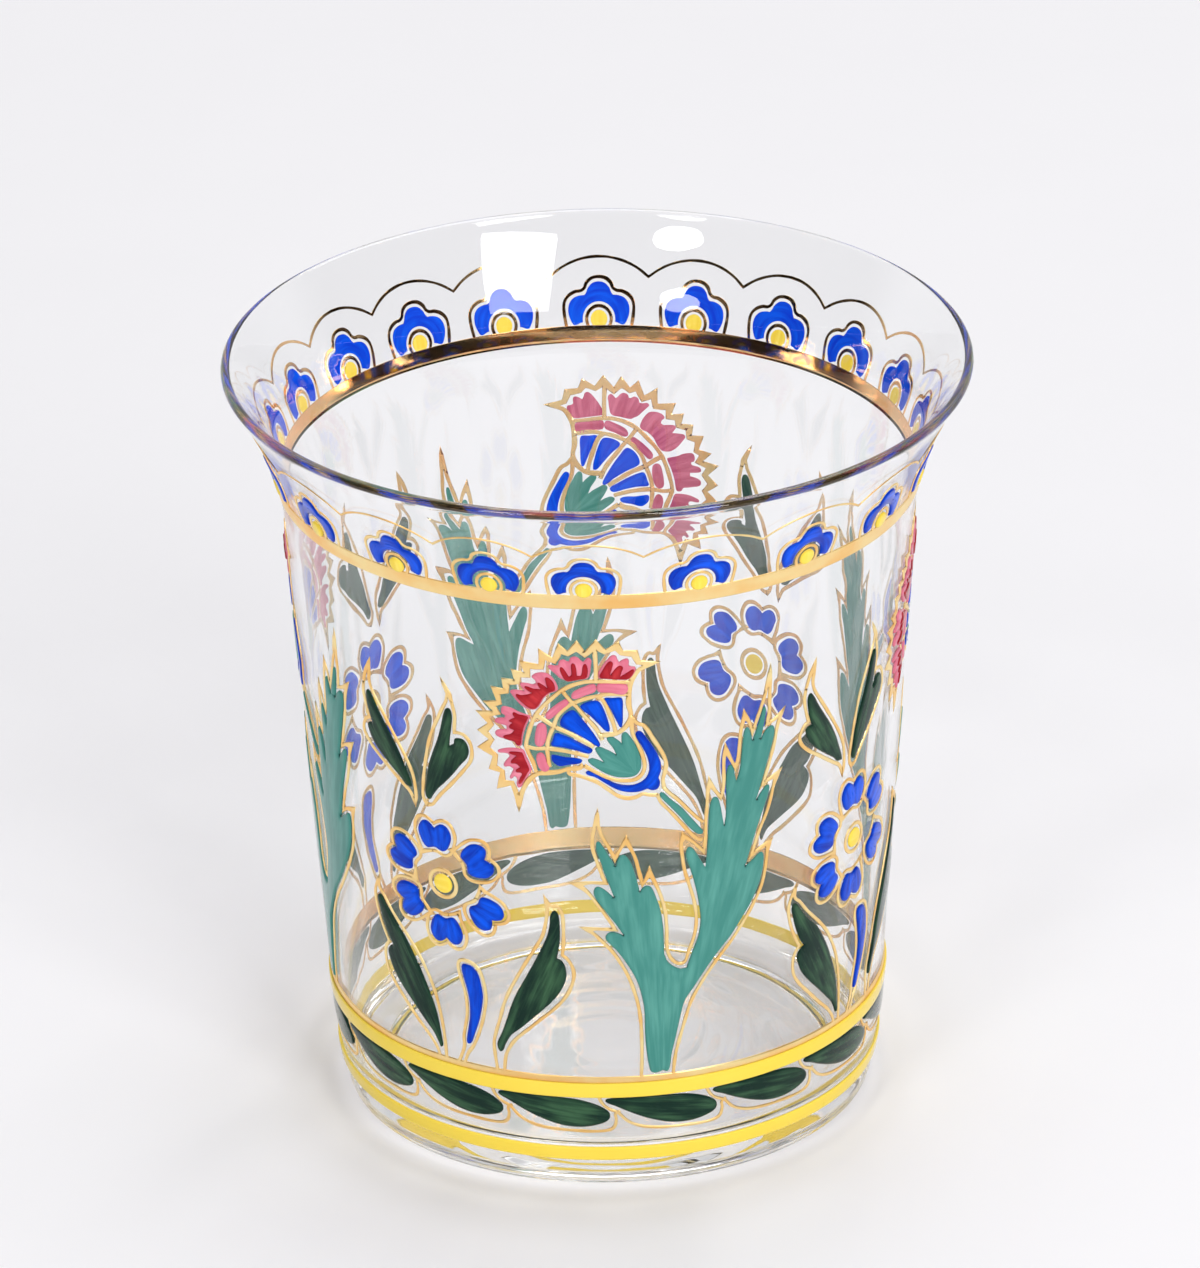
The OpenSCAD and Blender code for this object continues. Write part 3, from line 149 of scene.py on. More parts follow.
# Carnation: stem, calyx, sepal, wedges of the fan, dashes, pink petals and their red tips
CARNATION_STEM = [
    [69.9, 60.3], [70.3, 60.4], [71.8, 58.9], [74.1, 56.9], [76.3, 54.3], [78.4, 51.8], [78.9, 51.1],
    [78.5, 50.8], [77.8, 51], [76, 52.7], [74.1, 55.1], [71.8, 57.7], [70.1, 59.6]]
CALYX = [
    [55.2, 68], [55.8, 68.4], [56.9, 68.1], [58, 67.6], [59.2, 66.8, 1], [57.8, 68.6], [56.9, 70],
    [56.8, 70.6], [57.4, 70.8], [58.8, 70.2], [59.9, 69.6], [61.1, 68.8, 1], [60.4, 70.6], [59.3, 72.1],
    [59.2, 72.8], [59.9, 72.9], [61.1, 72.1], [62.2, 71, 1], [62.1, 72.6], [62.2, 73.5], [62.8, 73.7],
    [63.8, 72.4], [65, 70.2], [65.7, 67.7], [65.6, 66], [64.6, 64.8], [62.9, 64.5], [60.6, 64.7],
    [58.4, 65.6], [56.5, 66.8]]
SEPAL = [
    [54.5, 65.5], [55.1, 65.9], [56.4, 65.4], [58.3, 64.4], [60.6, 63.2], [62.9, 62.7], [64.7, 62.8],
    [66.4, 63.6], [67.3, 64.9], [67.5, 66.5], [67, 68.6], [65.8, 71], [64.9, 72.6], [64.8, 73.6],
    [65.4, 74], [66.1, 73.7], [67.5, 71.8], [69, 69.4], [69.9, 67.1], [70, 65.3], [69.5, 63.8, 1],
    [69.8, 62.6], [69.3, 61.5], [68.2, 61.2], [67.1, 61.6, 1], [65.2, 61.1], [62.9, 61.2], [60.6, 61.9],
    [58.3, 63.3], [56.4, 64.5], [54.9, 65]]
WEDGE = [
    [[58.7, 81.2], [60.3, 81.2], [61.9, 81.2], [62.3, 80.5], [62.3, 78.7], [62.2, 75.7], [61.8, 74.9],
        [61.1, 75.9], [59.8, 78.7], [58.8, 80.5]],
    [[53.7, 79.3], [54.6, 80.2], [56.4, 80.7], [57.5, 80.5], [58.4, 79], [59.2, 76.7], [59.6, 74.3],
        [58.8, 74.2], [57.6, 75.4], [55.6, 77.5]],
    [[49.5, 75.7], [49.9, 77], [51, 78.2], [52.4, 78.6], [53.7, 77.3], [55.5, 75], [57.3, 72.2],
        [57.6, 71.2], [57, 71], [55.1, 72.3], [52.3, 73.9], [50, 75]],
    [[48.1, 72.9], [48.5, 73.6], [49.2, 73.7], [51.8, 72.7], [54.5, 71.3], [56, 70.4], [55.8, 69.7],
        [55, 69.5], [52.8, 70.1], [50, 70.7], [47.9, 70.9], [47.5, 71.3], [47.8, 72]],
    [[47.9, 69.1], [50.5, 68.7], [52.5, 68.6], [53.8, 68.2], [53.7, 67.6], [53, 67.3], [51.4, 67.1],
        [49.3, 66.7], [48.2, 67.2], [47.6, 67.9], [47.5, 68.8]]]
DASH = [
    [[52.3, 81.7], [52.8, 82.4], [55, 83.5], [56.4, 83.9], [56.7, 83.4], [56.5, 82.7], [54.6, 82],
        [53, 81.3], [52.4, 81.3]],
    [[57.7, 84], [60.6, 84], [62.8, 83.7], [63.1, 82.9], [62.4, 82.1], [59.7, 82.6], [57.7, 82.7],
        [57.4, 83.3]],
    [[47, 77], [47.1, 77.7], [48.6, 79.1], [50.4, 80.4], [50.9, 80.6], [51.1, 80.1], [50, 79.1],
        [48, 77.2], [47.4, 76.8]],
    [[45.2, 75.1], [45.8, 75.4], [46.4, 75], [46.5, 73.4], [46, 71.6], [45.4, 70.9], [44.7, 71.1],
        [44.6, 72.3], [44.8, 73.8]],
    [[44.8, 68.6], [45.4, 69.1], [45.9, 68.7], [46.4, 67.3], [46.8, 66.3], [46.3, 65.7], [45.5, 65.9],
        [44.9, 67]]]
PINK_PETAL = [
    [[57.5, 85.3, 1], [57.4, 86.4], [58, 87.6], [59.2, 89.2], [60.2, 90.1], [61, 90], [61.3, 89.3],
        [61.6, 88.7, 1], [62.5, 89.2], [63.3, 89.3], [63.6, 88.8], [63.6, 87.9], [64.2, 87.6, 1],
        [64.8, 87.5], [64.9, 86.7], [64.2, 85.5], [63.3, 84.9], [62, 84.9], [59.7, 85.1]],
    [[50.7, 84.9, 1], [49.8, 85.3], [48.8, 86.2], [47.9, 87], [47.4, 87.6], [47.9, 88], [48.8, 87.9],
        [49.5, 88, 1], [49.7, 88.8], [50.1, 89.1], [50.7, 89.2], [51.3, 88.9], [51.7, 88.9, 1], [52, 89.6],
        [52.8, 89.9], [53.5, 89.7], [54, 89.2], [54.5, 88.8, 1], [55.3, 89.6], [55.8, 89.6],
        [56.2, 89], [56.1, 88.2], [55.9, 86.6], [55.4, 85.4], [53.7, 85], [51.4, 84.6]],
    [[49.4, 83], [49.2, 83.9], [48.6, 85], [47.5, 86.1], [46.3, 86.3], [45.1, 86.1], [44.4, 85.7],
        [44.1, 85.2], [44.7, 84.6], [44.9, 84, 1], [44.3, 83.7], [43.3, 83.8], [42, 83.8], [41.6, 83.5],
        [41.9, 82.9], [42.4, 82.2, 1], [40.9, 82.2], [39.9, 82.1], [39.5, 81.7], [39.7, 81.3],
        [40.4, 80.4], [41.3, 79.4], [42.4, 78.6], [43.4, 78.3], [44.6, 78.4], [45.5, 79.2],
        [46.5, 80.9], [47.8, 82], [49, 82.5]],
    [[43.5, 77, 1], [41.2, 77.6], [40.1, 78.1], [38.9, 78.4], [37.9, 78.4], [37.4, 77.8], [37.5, 76.9],
        [38.2, 76.5], [38, 76, 1], [36.6, 75.8], [36, 75.4], [36, 74.9], [36.8, 74.6], [38.4, 74.4, 1],
        [38.4, 73.7, 1], [36.8, 73.4], [36, 72.9], [36, 72.2], [36.6, 71.8], [37.5, 71.6], [38.9, 71.3],
        [39.9, 71.1], [40.3, 70.5], [41, 70.3], [41.5, 70.6], [41.9, 72.6], [42.6, 74.7],
        [43.5, 76.6]],
    [[41.5, 69.8], [38.9, 69.8], [37, 69.3], [36.3, 68.9], [36.5, 68.5], [38.4, 68.5], [38.8, 68, 1],
        [37.8, 66.8], [37.4, 66], [37.8, 65.6], [38.7, 65.8], [39.5, 65.4, 1], [38.9, 64.2],
        [38.6, 63.5], [39, 63.2], [39.8, 63.8], [40.2, 63.2, 1], [40, 62.2], [40.3, 61.6], [40.9, 61.6],
        [41.7, 62.9], [42.9, 64.6], [43.4, 65.6], [43.1, 66.6], [42.5, 68], [42, 69.4]]]
RED_TIP = [
    [[57.7, 85.7], [58.2, 87.1], [59.2, 88.7], [59.9, 89.1], [60.4, 88.7], [60.3, 87.8],
        [59.9, 86.4, 1], [61.2, 87.9], [61.9, 88.1], [62.4, 87.6], [62.1, 86.7], [61.9, 85.9, 1],
        [63.3, 86.7], [64.3, 87.2], [64.6, 86.7], [63.9, 85.5], [63.2, 85.1], [62, 85.1], [59.7, 85.3]],
    [[50.4, 85.7], [49.9, 87], [50, 87.8], [50.6, 87.6], [51.7, 85.9, 1], [52.1, 86.3], [52.1, 88.3],
        [52.6, 88.7], [53.1, 88], [53.3, 86.1, 1], [54, 86.2], [54.4, 88.1], [54.9, 88.6], [55.3, 88.2],
        [55.5, 86.8], [55.1, 85.6], [53.7, 85.2], [51.4, 84.8], [50.8, 85.1]],
    [[48.9, 83.3], [48.5, 84.6], [47.5, 85.5], [46.9, 85.4], [46.9, 84.7], [47.2, 83.4, 1], [46.3, 84],
        [45.4, 84.3], [45.3, 83.8], [45.8, 83, 1], [44.5, 83], [42.9, 83.4], [42.6, 83.1], [43, 82.6],
        [44, 82, 1], [43.3, 81.7], [41.9, 81.4], [40.9, 81.5], [40.8, 81], [41.5, 80.2], [43.5, 78.7],
        [44.6, 78.7], [45.4, 79.4], [46.4, 81.1], [47.6, 82.2], [48.7, 82.7]],
    [[43.1, 76.9], [41.2, 77.3], [40.2, 77.6], [39.9, 77.2], [40.3, 76.5, 1], [39.4, 76],
        [39.1, 75.6], [39.8, 75.3, 1], [39.2, 74.8], [39.1, 74.2], [40.1, 73.8, 1], [39.4, 73],
        [37.9, 72.4], [37.8, 71.9], [38.9, 71.5], [39.9, 71.4], [40.4, 70.8], [41, 70.6], [41.4, 70.9],
        [41.7, 72.6], [42.3, 74.7], [43.1, 76.4]],
    [[41.5, 69.3], [39.2, 69.2], [38.8, 68.8], [40.3, 68.4, 1], [39.2, 67.3], [39.2, 66.7],
        [40.2, 66.7], [41, 66.1, 1], [40.1, 65.4], [40.2, 64.9], [41.3, 64.8], [40.9, 63.8],
        [40.5, 62.7], [40.9, 62.4], [41.7, 63.3], [42.6, 64.9], [43, 65.6], [42.8, 66.5], [42.2, 67.9],
        [41.8, 69]]]
# The gilt zigzag round the fan, taken the other way from its right end
ZIGZAG = [
    [57.2, 73.2], [61, 73.6], [63.2, 75.3], [64, 77.2], [63.6, 79.6], [63.7, 82.3], [64.1, 84.4],
    [65.4, 86.5], [66.6, 87.2], [68.7, 88, 2], [67, 88.2], [65.5, 88.5, 1], [65, 90.6, 2],
    [62.2, 90.6, 1], [61.4, 92.4, 2], [58.8, 90.9, 1], [57.1, 93, 2], [54.9, 90.4, 1], [53.3, 92.6, 2],
    [51.5, 90.5, 1], [49.8, 92, 2], [48.7, 88.9, 1], [46, 90.6, 2], [46, 87.5, 1], [42.2, 88, 2],
    [43.2, 85.5, 1], [40.4, 86, 2], [41, 83.9, 1], [38.2, 84, 2], [38.6, 81.7, 1], [36, 81.9, 2],
    [37, 79.1, 1], [34.4, 78.7, 2], [36.4, 76.9, 1], [32.7, 76.4, 2], [35, 74.3, 1], [32.6, 72.6, 2],
    [35, 71, 1], [32.5, 69, 2], [35.6, 67.7, 1], [34.6, 64.9, 2], [37, 64.5, 1], [36.2, 61.2, 2],
    [39, 62.2, 1], [39.6, 60.6], [40.3, 57.2, 2], [41.3, 60.7], [42.7, 63.1], [44.6, 64.7], [46.6, 65],
    [49, 65.4], [51, 66.1], [53, 66.3], [54.2, 67]]
# The other gilt lines of the fan: two arcs, the spokes, and the lines round calyx, sepal and stem
INNER_ARC = [
    [47.1, 66.4], [46.9, 68.6], [46.8, 70.5], [47.2, 72.6], [48.2, 75], [49.2, 77.4], [50.8, 79.1],
    [52.4, 80.1], [54.6, 81], [57.2, 81.6], [60, 82], [63.6, 81.7]]
OUTER_ARC = [
    [44.3, 65], [43.8, 67], [42.9, 69], [42.4, 70.6], [43, 73.2], [43.9, 75.7], [44.9, 77.6],
    [46.3, 79.3], [48.2, 81.1], [50.1, 82.7], [52.4, 83.9], [55, 84.6], [57, 84.7], [60, 84.5],
    [64, 84.3]]
SPOKE = [
    [[56.8, 91.6], [57, 88], [57, 84.7]],
    [[57, 81.6], [58.4, 80.6], [59.6, 77.8], [60.5, 75.2], [60.8, 73.6]],
    [[50.1, 82.7], [51.6, 80.8], [53, 79.3], [54.6, 77.4], [56.8, 74.8], [58.1, 72.3]],
    [[44.2, 77.4], [46, 76.5], [48.4, 75], [51.6, 73.6], [54.4, 72], [56.4, 70.9]],
    [[42.4, 70.4], [44.4, 70.1], [46.8, 70.3], [50, 70], [53, 69.4], [55.2, 68.8]]]
CALYX_LINE = [
    [54.2, 67], [56, 65.9], [58, 64.8], [60.4, 63.9], [62.7, 63.6], [64.7, 63.8], [66, 64.8],
    [66.6, 66.4], [66.2, 68.7], [65.2, 71.2], [64.3, 73.2], [64, 75], [64, 77.2]]
SEPAL_LINE = [
    [[69.3, 60.1], [67.4, 60.3], [66.2, 60.6], [64.7, 60], [62.8, 59.9], [61, 60.5], [59.2, 61.8],
        [56.9, 63.4], [55, 64.2], [53, 64.8], [51.2, 65.2], [51, 66.1]],
    [[64.2, 76.6], [65.2, 75.6], [66.6, 74.9], [68.4, 72], [70.2, 69], [71, 66.8], [70.8, 64.9],
        [70.4, 63.4], [70.6, 61.6]]]
STEM_LINE = [
    [[70.4, 61.8], [71.4, 60.6], [73.4, 58.8], [76, 56], [78.2, 53.8], [79.2, 53.1]],
    [[79, 49.4], [78.1, 49.6], [76.2, 51.3], [74.1, 53.8], [71.8, 56.5], [69.9, 58.6], [69.2, 60.3]]]

# Rosette: its middle in the field, and one heart-shaped petal in shares of its width and length
ROSETTE_MID = 21.5
ROSETTE_RISE = 37.8
PETAL = [
    [0, 30, 1], [10, 42], [25, 50], [41, 40], [50, 12], [45, -18], [34, -42], [22, -50], [0, -42],
    [-22, -50], [-34, -42], [-45, -18], [-50, 12], [-41, 40], [-25, 50], [-10, 42]]
PETAL_GILT = [
    [0, 36, 1], [11, 45], [25, 50], [41, 41], [50, 12], [46, -18], [36, -42], [22, -50], [0, -43],
    [-20, -49], [-38, -60, 2], [-40, -38], [-46, -18], [-50, 12], [-41, 41], [-25, 50], [-11, 45]]
# Place and lean of each petal of the rosette, as turns from straight up
PETAL_TURNS = [[-7, 0], [50, 66], [117, 134], [180, 178], [236, 250], [294, 292]]

# Leaves above and below the rosette, the bud between the lower ones, and their gilt lines
UPPER_LEAF = [
    [[14.4, 56.7], [13.5, 56.9], [12.4, 57.9], [10.3, 59.3], [7.8, 61], [5.6, 62.7], [4.2, 64.4],
        [3.5, 66], [3.4, 66.8], [4, 67.3], [5, 67.5, 1], [4.5, 68.5], [4, 70.3], [3.6, 72.6],
        [3.8, 73.8], [4.4, 74.2], [5.2, 73.6], [6.6, 71.4], [8.4, 68.9], [10.5, 66.1], [12.6, 62.7],
        [14, 59.7], [14.9, 57.7], [15, 56.8]],
    [[19.1, 55.4], [18.6, 56.2], [18.6, 57.3], [19.2, 60], [19.9, 62.8], [21.2, 65.9], [22.6, 69],
        [23.7, 72.2], [24.4, 74.6], [25, 75.7], [25.8, 75.9], [26.3, 75.2], [26.4, 74], [26, 71.5],
        [25.6, 69.7], [25.4, 68, 1], [26.4, 68.7], [26.6, 69.6], [27.6, 70], [28.8, 69.8],
        [29.6, 68.8], [29.8, 67.4], [29.2, 65.9], [27.8, 64.4], [25.7, 61.9], [23.6, 59.7], [21.8, 58],
        [20.4, 56.2], [19.8, 55.4]]]
UPPER_GILT = [
    [[15.6, 53.6, 1], [14.4, 55.7], [12.4, 57], [10.2, 58.4], [7.6, 60.1], [4.8, 61.9], [2.8, 63.6],
        [1.9, 65.2], [2.2, 66.7], [3.2, 67.9], [4.2, 68.3, 1], [3.4, 70.4], [2.9, 72.4], [2.8, 74],
        [3.3, 76.2], [4.1, 78.4, 2], [5.4, 80.5, 2], [5.1, 78.2, 2], [4.9, 76.4], [5.5, 74.5],
        [7.5, 71.7], [9.7, 68.7], [12, 65.5], [14.1, 62.4], [15.4, 59.9], [15.9, 57.4], [16, 55]],
    [[18.9, 53.9, 2], [18.2, 54.8], [17.9, 56], [18.1, 57.8], [18.5, 60.3], [19.2, 63.4], [19.9, 66.2],
        [20.6, 68.4], [21.7, 70.9], [23, 73.3], [24.2, 75.6], [25.2, 77.4], [25.7, 79, 2],
        [24.6, 81.3, 2], [26.2, 78.8, 2], [26.6, 76.8], [27, 74.6], [26.8, 72.4], [26.7, 71, 1],
        [27.6, 71.1], [29, 70.8], [30.2, 69.4], [30.5, 67.4], [30, 65.5], [28.5, 63.5], [26.3, 61],
        [24.2, 58.8], [22.3, 56.9], [20.9, 55.2], [20.2, 54.4]]]
LOWER_LEAF = [
    [[17.9, 1.6], [17.3, 2.6], [16.1, 4.4], [13.9, 6.4], [10.8, 9.2], [7.6, 12], [5.3, 14.5],
        [3.9, 17.2], [3.7, 18.8], [4.5, 19.8], [5.6, 20.3, 1], [4.4, 21.7], [3, 24.5], [1.9, 27.6],
        [1.5, 29.2], [1.9, 30], [2.8, 30.1], [3.9, 29], [5.6, 26.9], [7.4, 25.2], [9.6, 23.2],
        [11.9, 20], [13.7, 17.1], [15.5, 13.5], [16.9, 10.3], [17.7, 7.4], [18.3, 3.5], [18.4, 2.1]],
    [[33.4, 3.8], [32.8, 4.5], [32.7, 5.7], [33.9, 8], [35.2, 11.1], [36.5, 14.4], [37.9, 17.2],
        [40.1, 20.8], [42, 24], [43.8, 27.3], [45.2, 30.1], [45.9, 32.7], [46.1, 34.6], [46.7, 35.6],
        [47.4, 35.7], [48, 34.7], [48.2, 31.8], [48, 28.6], [47.3, 25.5, 1], [48.4, 25], [49.2, 23.3],
        [49.2, 21.3], [48.2, 18.9], [46.4, 16.5], [44.2, 14.4], [41.4, 12], [38.6, 9.6], [36.1, 7.6],
        [34.7, 5.5], [34.1, 4.2]]]
LOWER_GILT = [
    [[17.6, -1], [16.8, 1.1], [14.8, 3.4], [11.6, 6], [7.9, 9.3], [4.8, 12.2], [3, 14.6], [2.5, 16.9],
        [2.9, 19.1], [4.2, 20.6, 1], [3.3, 22], [1.9, 24.7], [0.9, 27.6], [0.7, 29.8], [1.1, 31.4],
        [2.4, 33.6, 2], [2.4, 31.4], [3.8, 30.2], [6, 27.7], [8, 25.8], [10.2, 23.8], [12.9, 21],
        [15.1, 17.8], [16.9, 14.3], [18, 10.7], [18.7, 7.1], [19.1, 3], [19.2, -1]],
    [[32.5, -1], [32, 3], [31.9, 5.6], [32.5, 7.8], [33.6, 10.8], [34.8, 14.4], [36.4, 17.7],
        [38.4, 21], [40.6, 24.4], [42.8, 27.7], [44.3, 30.2], [45.1, 33], [45.5, 35.6], [45.2, 38.1, 2],
        [46.4, 36.7], [47.7, 36.7], [48.7, 35.1], [48.9, 31.8], [48.8, 28.6], [48.5, 26.2, 1],
        [49.6, 25.4], [50.6, 23.8], [50.9, 21.9], [50.2, 19.4], [48.6, 16.8], [46, 14.2], [43, 11.8],
        [40.2, 9.5], [37.3, 7.1], [35.6, 5], [34.6, 3], [34, -1]]]
BUD = [
    [25.5, 4], [25, 4.5], [25.1, 5.5], [25.7, 7.9], [26.2, 10.3], [26.3, 13.6], [25.8, 16.4],
    [25.1, 18.8], [24.8, 20.6], [25.2, 21.3], [26.5, 21.4], [27.8, 21], [28.9, 19.7], [29.5, 17.6],
    [29.8, 15.2], [29.4, 12.7], [28.5, 9.5], [27.1, 6.2], [26.3, 4.5]]
BUD_GILT = [
    [22.2, -1], [23.4, 1.2], [24.3, 3.4], [24.3, 5.4], [24.9, 7.8], [25.5, 10.4], [25.6, 13.5],
    [25.1, 16.3], [24.3, 18.8], [24, 20.9], [24.7, 22], [26.5, 22.1], [28.2, 21.6], [29.5, 20.2],
    [30.2, 17.9], [30.5, 15.2], [30.1, 12.5], [29.2, 9.3], [27.8, 5.9], [26.5, 3.6], [25.2, 2],
    [23.8, -1]]

# One leaf of the garland and its gilt line, in shares of the leaf's length and height
GARLAND_LEAF = [
    [0, 88], [2, 98], [20, 100], [50, 100], [69, 96], [84, 83], [94, 66], [99, 48], [98, 27], [89, 11],
    [74, 2], [57, 6], [39, 24], [24, 46], [9, 72]]
GARLAND_LINE = [
    [-6, 106], [-3, 84], [2, 66], [11, 50], [19, 22], [30, 3], [45, -7], [69, -11], [93, -11],
    [102, 0], [104.5, 26], [104, 46], [108, 56]]

# The right half of a floret and of its gilt line, from the top, in shares of their width and height
FLORET_HALF = [
    [0, 100], [10, 96.5], [17, 86], [20, 76], [23, 70, 1], [32, 69], [42, 63], [48.5, 50], [50, 30],
    [45, 8], [40, 1], [30, 6], [12, 12]]
FLORET_LINE_HALF = [
    [0, 100], [10, 97], [17, 88], [20, 78], [25, 72.5], [33, 71], [43, 63], [49, 50], [50, 30],
    [47, -6]]

# How finely the outlines and sheets are modelled
CURVE_STEPS = 5
CIRCLE_STEPS = 40
ARCH_STEPS = 25
SCALLOP_STEPS = 8
MITER_RATIO = 3
EDGE_KEPT = 0.9        # share of its reach that a point of an edge keeps from the line's path
LATTICE = 0.5          # spacing of the points inside a painted shape
LATTICE_CLEAR = 1.5    # how clear of the edge they stay, in shares of the innermost inset
INSET_CLEAR = 0.8      # how clear of every edge the inset points stay, in shares of the first inset
CELL = 0.05            # size of the cells that each keep one inset point
MARGIN = 0.01          # this and the next are small lengths that keep the filling sound
MERGE = 1e-4
ON_EDGE = 1e-5
WELD = 1e-6
TINY = 1e-9
TINY_SQUARE = 1e-12

# Insets of the points inside the edge of a filled shape, of a gilt line and of a fine one
FILL = (0.05, 0.16, 0.34)
LINE = (0.035, 0.09, 0.16)
FINE = (0.03, 0.08, 0.12)

# How the lines are drawn
SWELLS = [(0.07, 1.7, 2.3), (0.05, -2.2, 3.1)]    # shares of the width, and their waves along and up
FLAME = 2
FLAME_REACH = 0.58     # share of a flame that the inner edge of its line runs into
JOIN_LAP = 0.1         # how far one stroke of the scallop line laps over the last
STROKE_ARCHES = 5
DASH_SPREAD = 0.16     # how much fuller the carnation's dashes, and then its calyx and stem, are laid on
CALYX_SPREAD = 0.1
CARNATION_LINE_W = 0.44
ZIGZAG_FILL = 0.12     # how much further in the zigzag is filled, towards the petals

# How a coat rises from its edge: shares of its height, and how wide the rounding of each is, where None
# stands for half the width of a band
ENAMEL_RISES = [(0.68, 0.22), (0.32, 1.5)]
GILT_RISES = [(0.75, 0.07), (0.25, 0.3)]
BAND_RISES = [(0.75, 0.12), (0.25, None)]
SINK = 0.02            # how far a painted piece's back lies inside the glass
COAT_LAP = 0.1         # how far the ground of a second coat is taken as wider than the first coat
STROKE_SHIFT = 3.7     # sets the brush marks of one shape, or of one repeat, apart from the next one's
REPEAT_SHIFT = 11.3

# Bands: where their profile has points, as shares of the width, and how their backs lie
BAND_SHARES = (0, 0.02, 0.06, 0.15, 0.3, 0.5, 0.7, 0.85, 0.94, 0.98, 1)
BAND_BACK_SHARES = (0.97, 0.75, 0.5, 0.25, 0.03)
BAND_SINK = 0.03
BAND_LEAN = 0.07       # how much further in a band's back lies at its foot, so that it mirrors higher
BAND_BACK_T = 0.015
BAND_WAVER = 0.022     # how far a band's edges wander, in three long waves and seven short ones
BAND_SHIVER = 0.016

# How finely the glass is turned, and the small forms of its lip and floor
AROUND = 288
HEEL_STEPS = 14
WALL_STEPS = 26
LIP_STEPS = 22
CORNER_STEPS = 12
FLOOR_STEPS = 40
UNDER_STEPS = 12
LIP_EDGE_R = 0.5
LIP_CLEAR = 0.1
LIP_THINNING = 8       # power by which the wall thins only close to the lip
FLOOR_WAVE = 0.04
FLOOR_WAVES = 5.5
RING_EDGE = [(-0.04, 0.03), (0.1, 0)]    # the foot ring's inner edge: out from its radius, and up

# The wall
LIP_Z = GLASS_H - LIP_R
TAPER_FOOT_R = FOOT_R + HEEL_SWELL
TAPER = (NECK_R - TAPER_FOOT_R) / NECK_H
FLARE_OUT = RIM_R - TAPER_FOOT_R - TAPER * LIP_Z
LIP_LEAN = math.atan(TAPER + FLARE_OUT * FLARE_POWER / (LIP_Z - NECK_H))
FIELD_H = RIM_BAND_TOP - RIM_BAND_W - BASE_BAND_TOP


def wall_r(z):
    """Radius of the outside of the glass at a height."""
    heel = HEEL_SWELL * (1 - math.sqrt(1 - (1 - z / HEEL_H) ** 2)) if z < HEEL_H else 0
    flare = FLARE_OUT * ((z - NECK_H) / (LIP_Z - NECK_H)) ** FLARE_POWER if z > NECK_H else 0
    return TAPER_FOOT_R + TAPER * z - heel + flare


PAINT_R = wall_r((BASE_BAND_H + NECK_H) / 2)
FIELD_W = ROUND * PAINT_R / SPRAYS
SPRAY_TURNS = [SPRAY_TURN + 360 / SPRAYS * k for k in range(SPRAYS)]


# Outlines

def unit(v):
    return v / max(np.linalg.norm(v), TINY)


def left(v):
    return np.array([-v[1], v[0]])


def smooth(points, closed=True):
    """A smooth line through points, with corners where they are marked."""
    places = [np.array(p[:2], float) for p in points]
    marked = [len(p) > 2 and p[2] > 0 for p in points]
    n = len(points)
    last = n - 1 if closed else n - 2
    line = []
    for i in range(last + 1):
        b, c = places[i], places[(i + 1) % n]
        start = b if marked[i] or (not closed and i == 0) else places[i - 1]
        end = c if marked[(i + 1) % n] or (not closed and i == last) else places[(i + 2) % n]
        span = np.linalg.norm(c - b)
        m, e = unit(c - start) * span, unit(end - b) * span
        for k in range(CURVE_STEPS):
            t = k / CURVE_STEPS
            line.append((2 * t ** 3 - 3 * t ** 2 + 1) * b + (t ** 3 - 2 * t ** 2 + t) * m
                + (3 * t ** 2 - 2 * t ** 3) * c + (t ** 3 - t ** 2) * e)
    return np.array(line if closed else line + [places[-1]])


def swell(place):
    """How much a drawn line thickens or thins at a place, as a brush does."""
    x, z = place
    return sum((share * math.sin(along * x + up * z) for share, along, up in SWELLS), 1)


def distance(points, path, closed=True):
    """How far each point lies from a path."""
    a, b = (path, np.roll(path, -1, axis=0)) if closed else (path[:-1], path[1:])
    d = b - a
    away = points[:, None] - a
    t = np.clip((away * d).sum(2) / np.maximum((d * d).sum(1), TINY_SQUARE), 0, 1)
    return np.sqrt(((away - t[..., None] * d) ** 2).sum(2)).min(1)


def edge(path, reach, closed):
    """One edge of a line, to the left of its path where reach is positive."""
    spots, reaches = [], []
    n = len(path)
    for i, here in enumerate(path):
        before = path[i - 1] if closed or i > 0 else 2 * here - path[1]
        after = path[(i + 1) % n] if closed or i < n - 1 else 2 * here - path[n - 2]
        across = left(unit(here - before)) + left(unit(after - here))
        out = reach * swell(here)
        miter = min(2 / max(np.linalg.norm(across), TINY), MITER_RATIO)
        spots.append(here + out * unit(across) * miter)
        reaches.append(abs(out))
    spots = np.array(spots)
    return spots[distance(spots, path, closed) > EDGE_KEPT * np.array(reaches)]


def drawn_back(points):
    """The path of a line's inner edge, which runs only partly into the flames."""
    path = []
    for i, p in enumerate(points):
        if len(p) < 3 or p[2] < FLAME:
            path.append(p)
            continue
        before, after = points[i - 1], points[(i + 1) % len(points)]
        x, z = (before[0] + after[0]) / 2, (before[1] + after[1]) / 2
        path.append((x + (p[0] - x) * FLAME_REACH, z + (p[1] - z) * FLAME_REACH, 1))
    return path


def ribbon(points, width, closed=False, within=0):
    """A line of a width as loops: one round an open line, or the outer and inner one of a closed line."""
    outer = edge(smooth(points, closed), width / 2, closed)
    inner = edge(smooth(drawn_back(points), closed), -width / 2 - within, closed)
    return [outer, inner] if closed else [np.concatenate([outer, inner[::-1]])]


def sized(points, width, height, z=0.0):
    return [(p[0] / 100 * width, z + p[1] / 100 * height) + tuple(p[2:]) for p in points]


def in_field(points):
    return [(p[0] - FIELD_W / 2,) + p[1:] for p in sized(points, FIELD_W, FIELD_H, BASE_BAND_TOP)]


def mirrored(right):
    """Both halves of a shape given by its right half from the top, clockwise from the bottom left."""
    return [(-p[0],) + tuple(p[1:]) for p in right[:0:-1]] + [tuple(p) for p in right]


